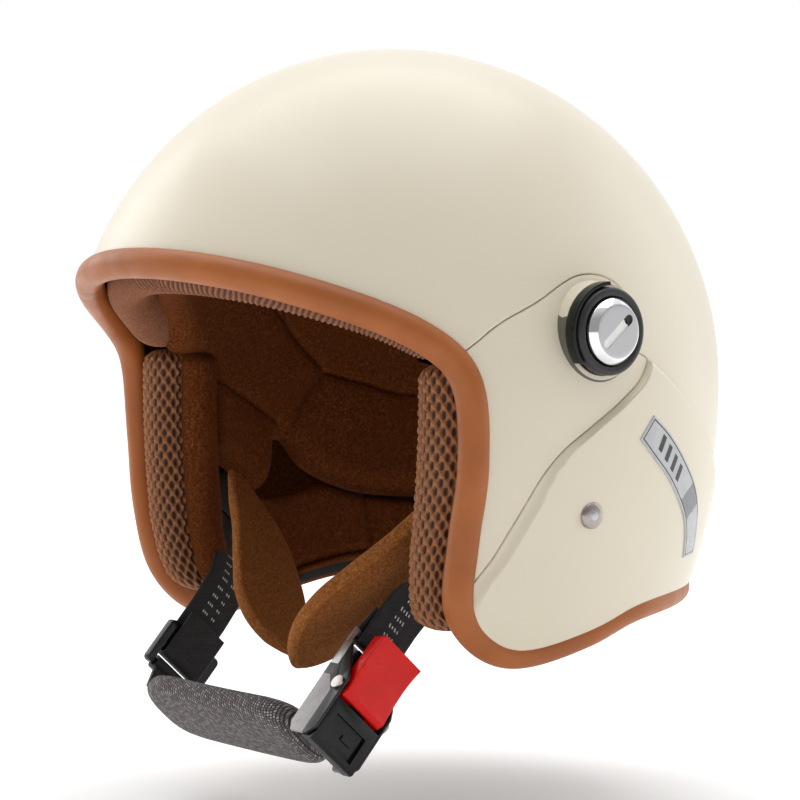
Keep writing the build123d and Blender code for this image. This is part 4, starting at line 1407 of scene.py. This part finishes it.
# ---- carried over CAD nodes ---------------------------------------------------------------------
CARRIED = {                 # each node's material and the width of its bevel in millimetres
    "impact_liner": (FOAM, 0), "liner_snaps": (BLACK, 0.3),
    "visor_base_left": (BLACK, 0.3), "visor_base_right": (BLACK, 0.3),
    "pivot_nut_left": (BRASS, 0), "pivot_nut_right": (BRASS, 0),
    "strap_rivet_left": (STEEL, 0), "strap_rivet_right": (STEEL, 0),
    "rivet_washer_left": (STEEL, 0), "rivet_washer_right": (STEEL, 0),
    "hanger_left": (DARK_STEEL_AND_SLOT_SHADOW, 0.3), "hanger_right": (DARK_STEEL_AND_SLOT_SHADOW, 0.3),
    "buckle_frame": (BUCKLE, 0.35), "buckle_cover": (BLACK, 0.5), "lever_pin": (NICKEL, 0.3),
    "lever_spring": (STEEL, 0), "release_lever": (RED, 1.3), "strap_slider": (BLACK, 0.5),
    "chin_loop": (WEBBING, 0.2), "ladder_tongue": (BLACK, 0.2),
}
for node, (material, width) in CARRIED.items():
    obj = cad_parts[node]
    dress(obj, material)
    mesh = obj.data
    if "custom_normal" in mesh.attributes:
        mesh.attributes.remove(mesh.attributes["custom_normal"])
    for polygon in mesh.polygons:
        polygon.use_smooth = True
    weld = obj.modifiers.new("weld", "WELD")
    weld.merge_threshold = 2e-6
    if width:
        bevel = obj.modifiers.new("edges", "BEVEL")
        bevel.width = width * MM
        bevel.segments = 3
        bevel.limit_method = "ANGLE"
        bevel.angle_limit = math.radians(35)
        bevel.harden_normals = False
    split = obj.modifiers.new("split", "EDGE_SPLIT")
    split.split_angle = math.radians(32)
    split.use_edge_sharp = False

# ---- floor, light and camera --------------------------------------------------------------------
FLOOR_HALF, FLOOR_Z = 6000.0, -172.0
corners = [(x * FLOOR_HALF, y * FLOOR_HALF, FLOOR_Z) for x, y in ((-1, -1), (1, -1), (1, 1), (-1, 1))]
floor = make("floor", corners, [(0, 1, 2, 3)], smooth=False)
white = Finish("floor", Roughness=0.9, Specular_IOR_Level=0.1, Emission_Color=(1, 1, 1, 1))
white.feed("Base Color", white.ramp(white.noise(3, 2), (0.3, rgb(250, 250, 249)),
                                    (0.7, rgb(252, 252, 251))))
reach = white.node("ShaderNodeVectorMath", {0: white.place()}, operation="LENGTH").outputs["Value"]
white.feed("Emission Strength", white.range(reach, 0.35, 1.6, 0.12, 0.4))
dress(floor, white.material)

scene = bpy.context.scene
scene.world = bpy.data.worlds.new("studio")
scene.world.use_nodes = True
sky = Nodes(scene.world.node_tree)
background = sky.tree.nodes["Background"]
direction = sky.node("ShaderNodeTexCoord").outputs["Generated"]
facing = sky.node("ShaderNodeVectorMath", {0: direction, 1: (-0.68, 0.54, 0.5)},
                  operation="DOT_PRODUCT").outputs["Value"]
background.inputs[0].default_value = (1, 1, 1, 1)
sky.tree.links.new(sky.range(facing, -0.35, 0.5, 0.36, 1.0), background.inputs[1])


def area_light(name, at, towards, size, power):
    data = bpy.data.lights.new(name, "AREA")
    data.shape = "RECTANGLE"
    data.size, data.size_y = size
    data.energy = power
    obj = add(name, data)
    obj.location = at
    obj.rotation_euler = (Vector(towards) - Vector(at)).to_track_quat("-Z", "Y").to_euler()


area_light("top_softbox", (-0.25, 0.15, 1.5), (0, 0, 0.0), (1.8, 1.8), 15)
area_light("right_rim", (0.35, 1.8, 0.5), (0, 0, 0), (1.2, 1.6), 4)
area_light("left_rim", (-1.7, -0.5, 0.7), (0, 0, 0.05), (1.2, 1.2), 7.5)

CAMERA_AT, LOOK_AT, ROLL = (0.9070, -0.7177, 0.0512), (0.0018, 0.0023, -0.0065), 0.24
camera_data = bpy.data.cameras.new("camera")
camera = add("camera", camera_data)
camera.location = CAMERA_AT
camera.rotation_mode = "QUATERNION"
camera.rotation_quaternion = (Vector(LOOK_AT) - camera.location).to_track_quat("-Z", "Y") @ Euler(
    (0, 0, math.radians(ROLL))).to_quaternion()
camera_data.sensor_width = 36
camera_data.lens = 125.6
camera_data.clip_start, camera_data.clip_end = 0.05, 50
scene.camera = camera
scene.view_settings.view_transform = "Standard"
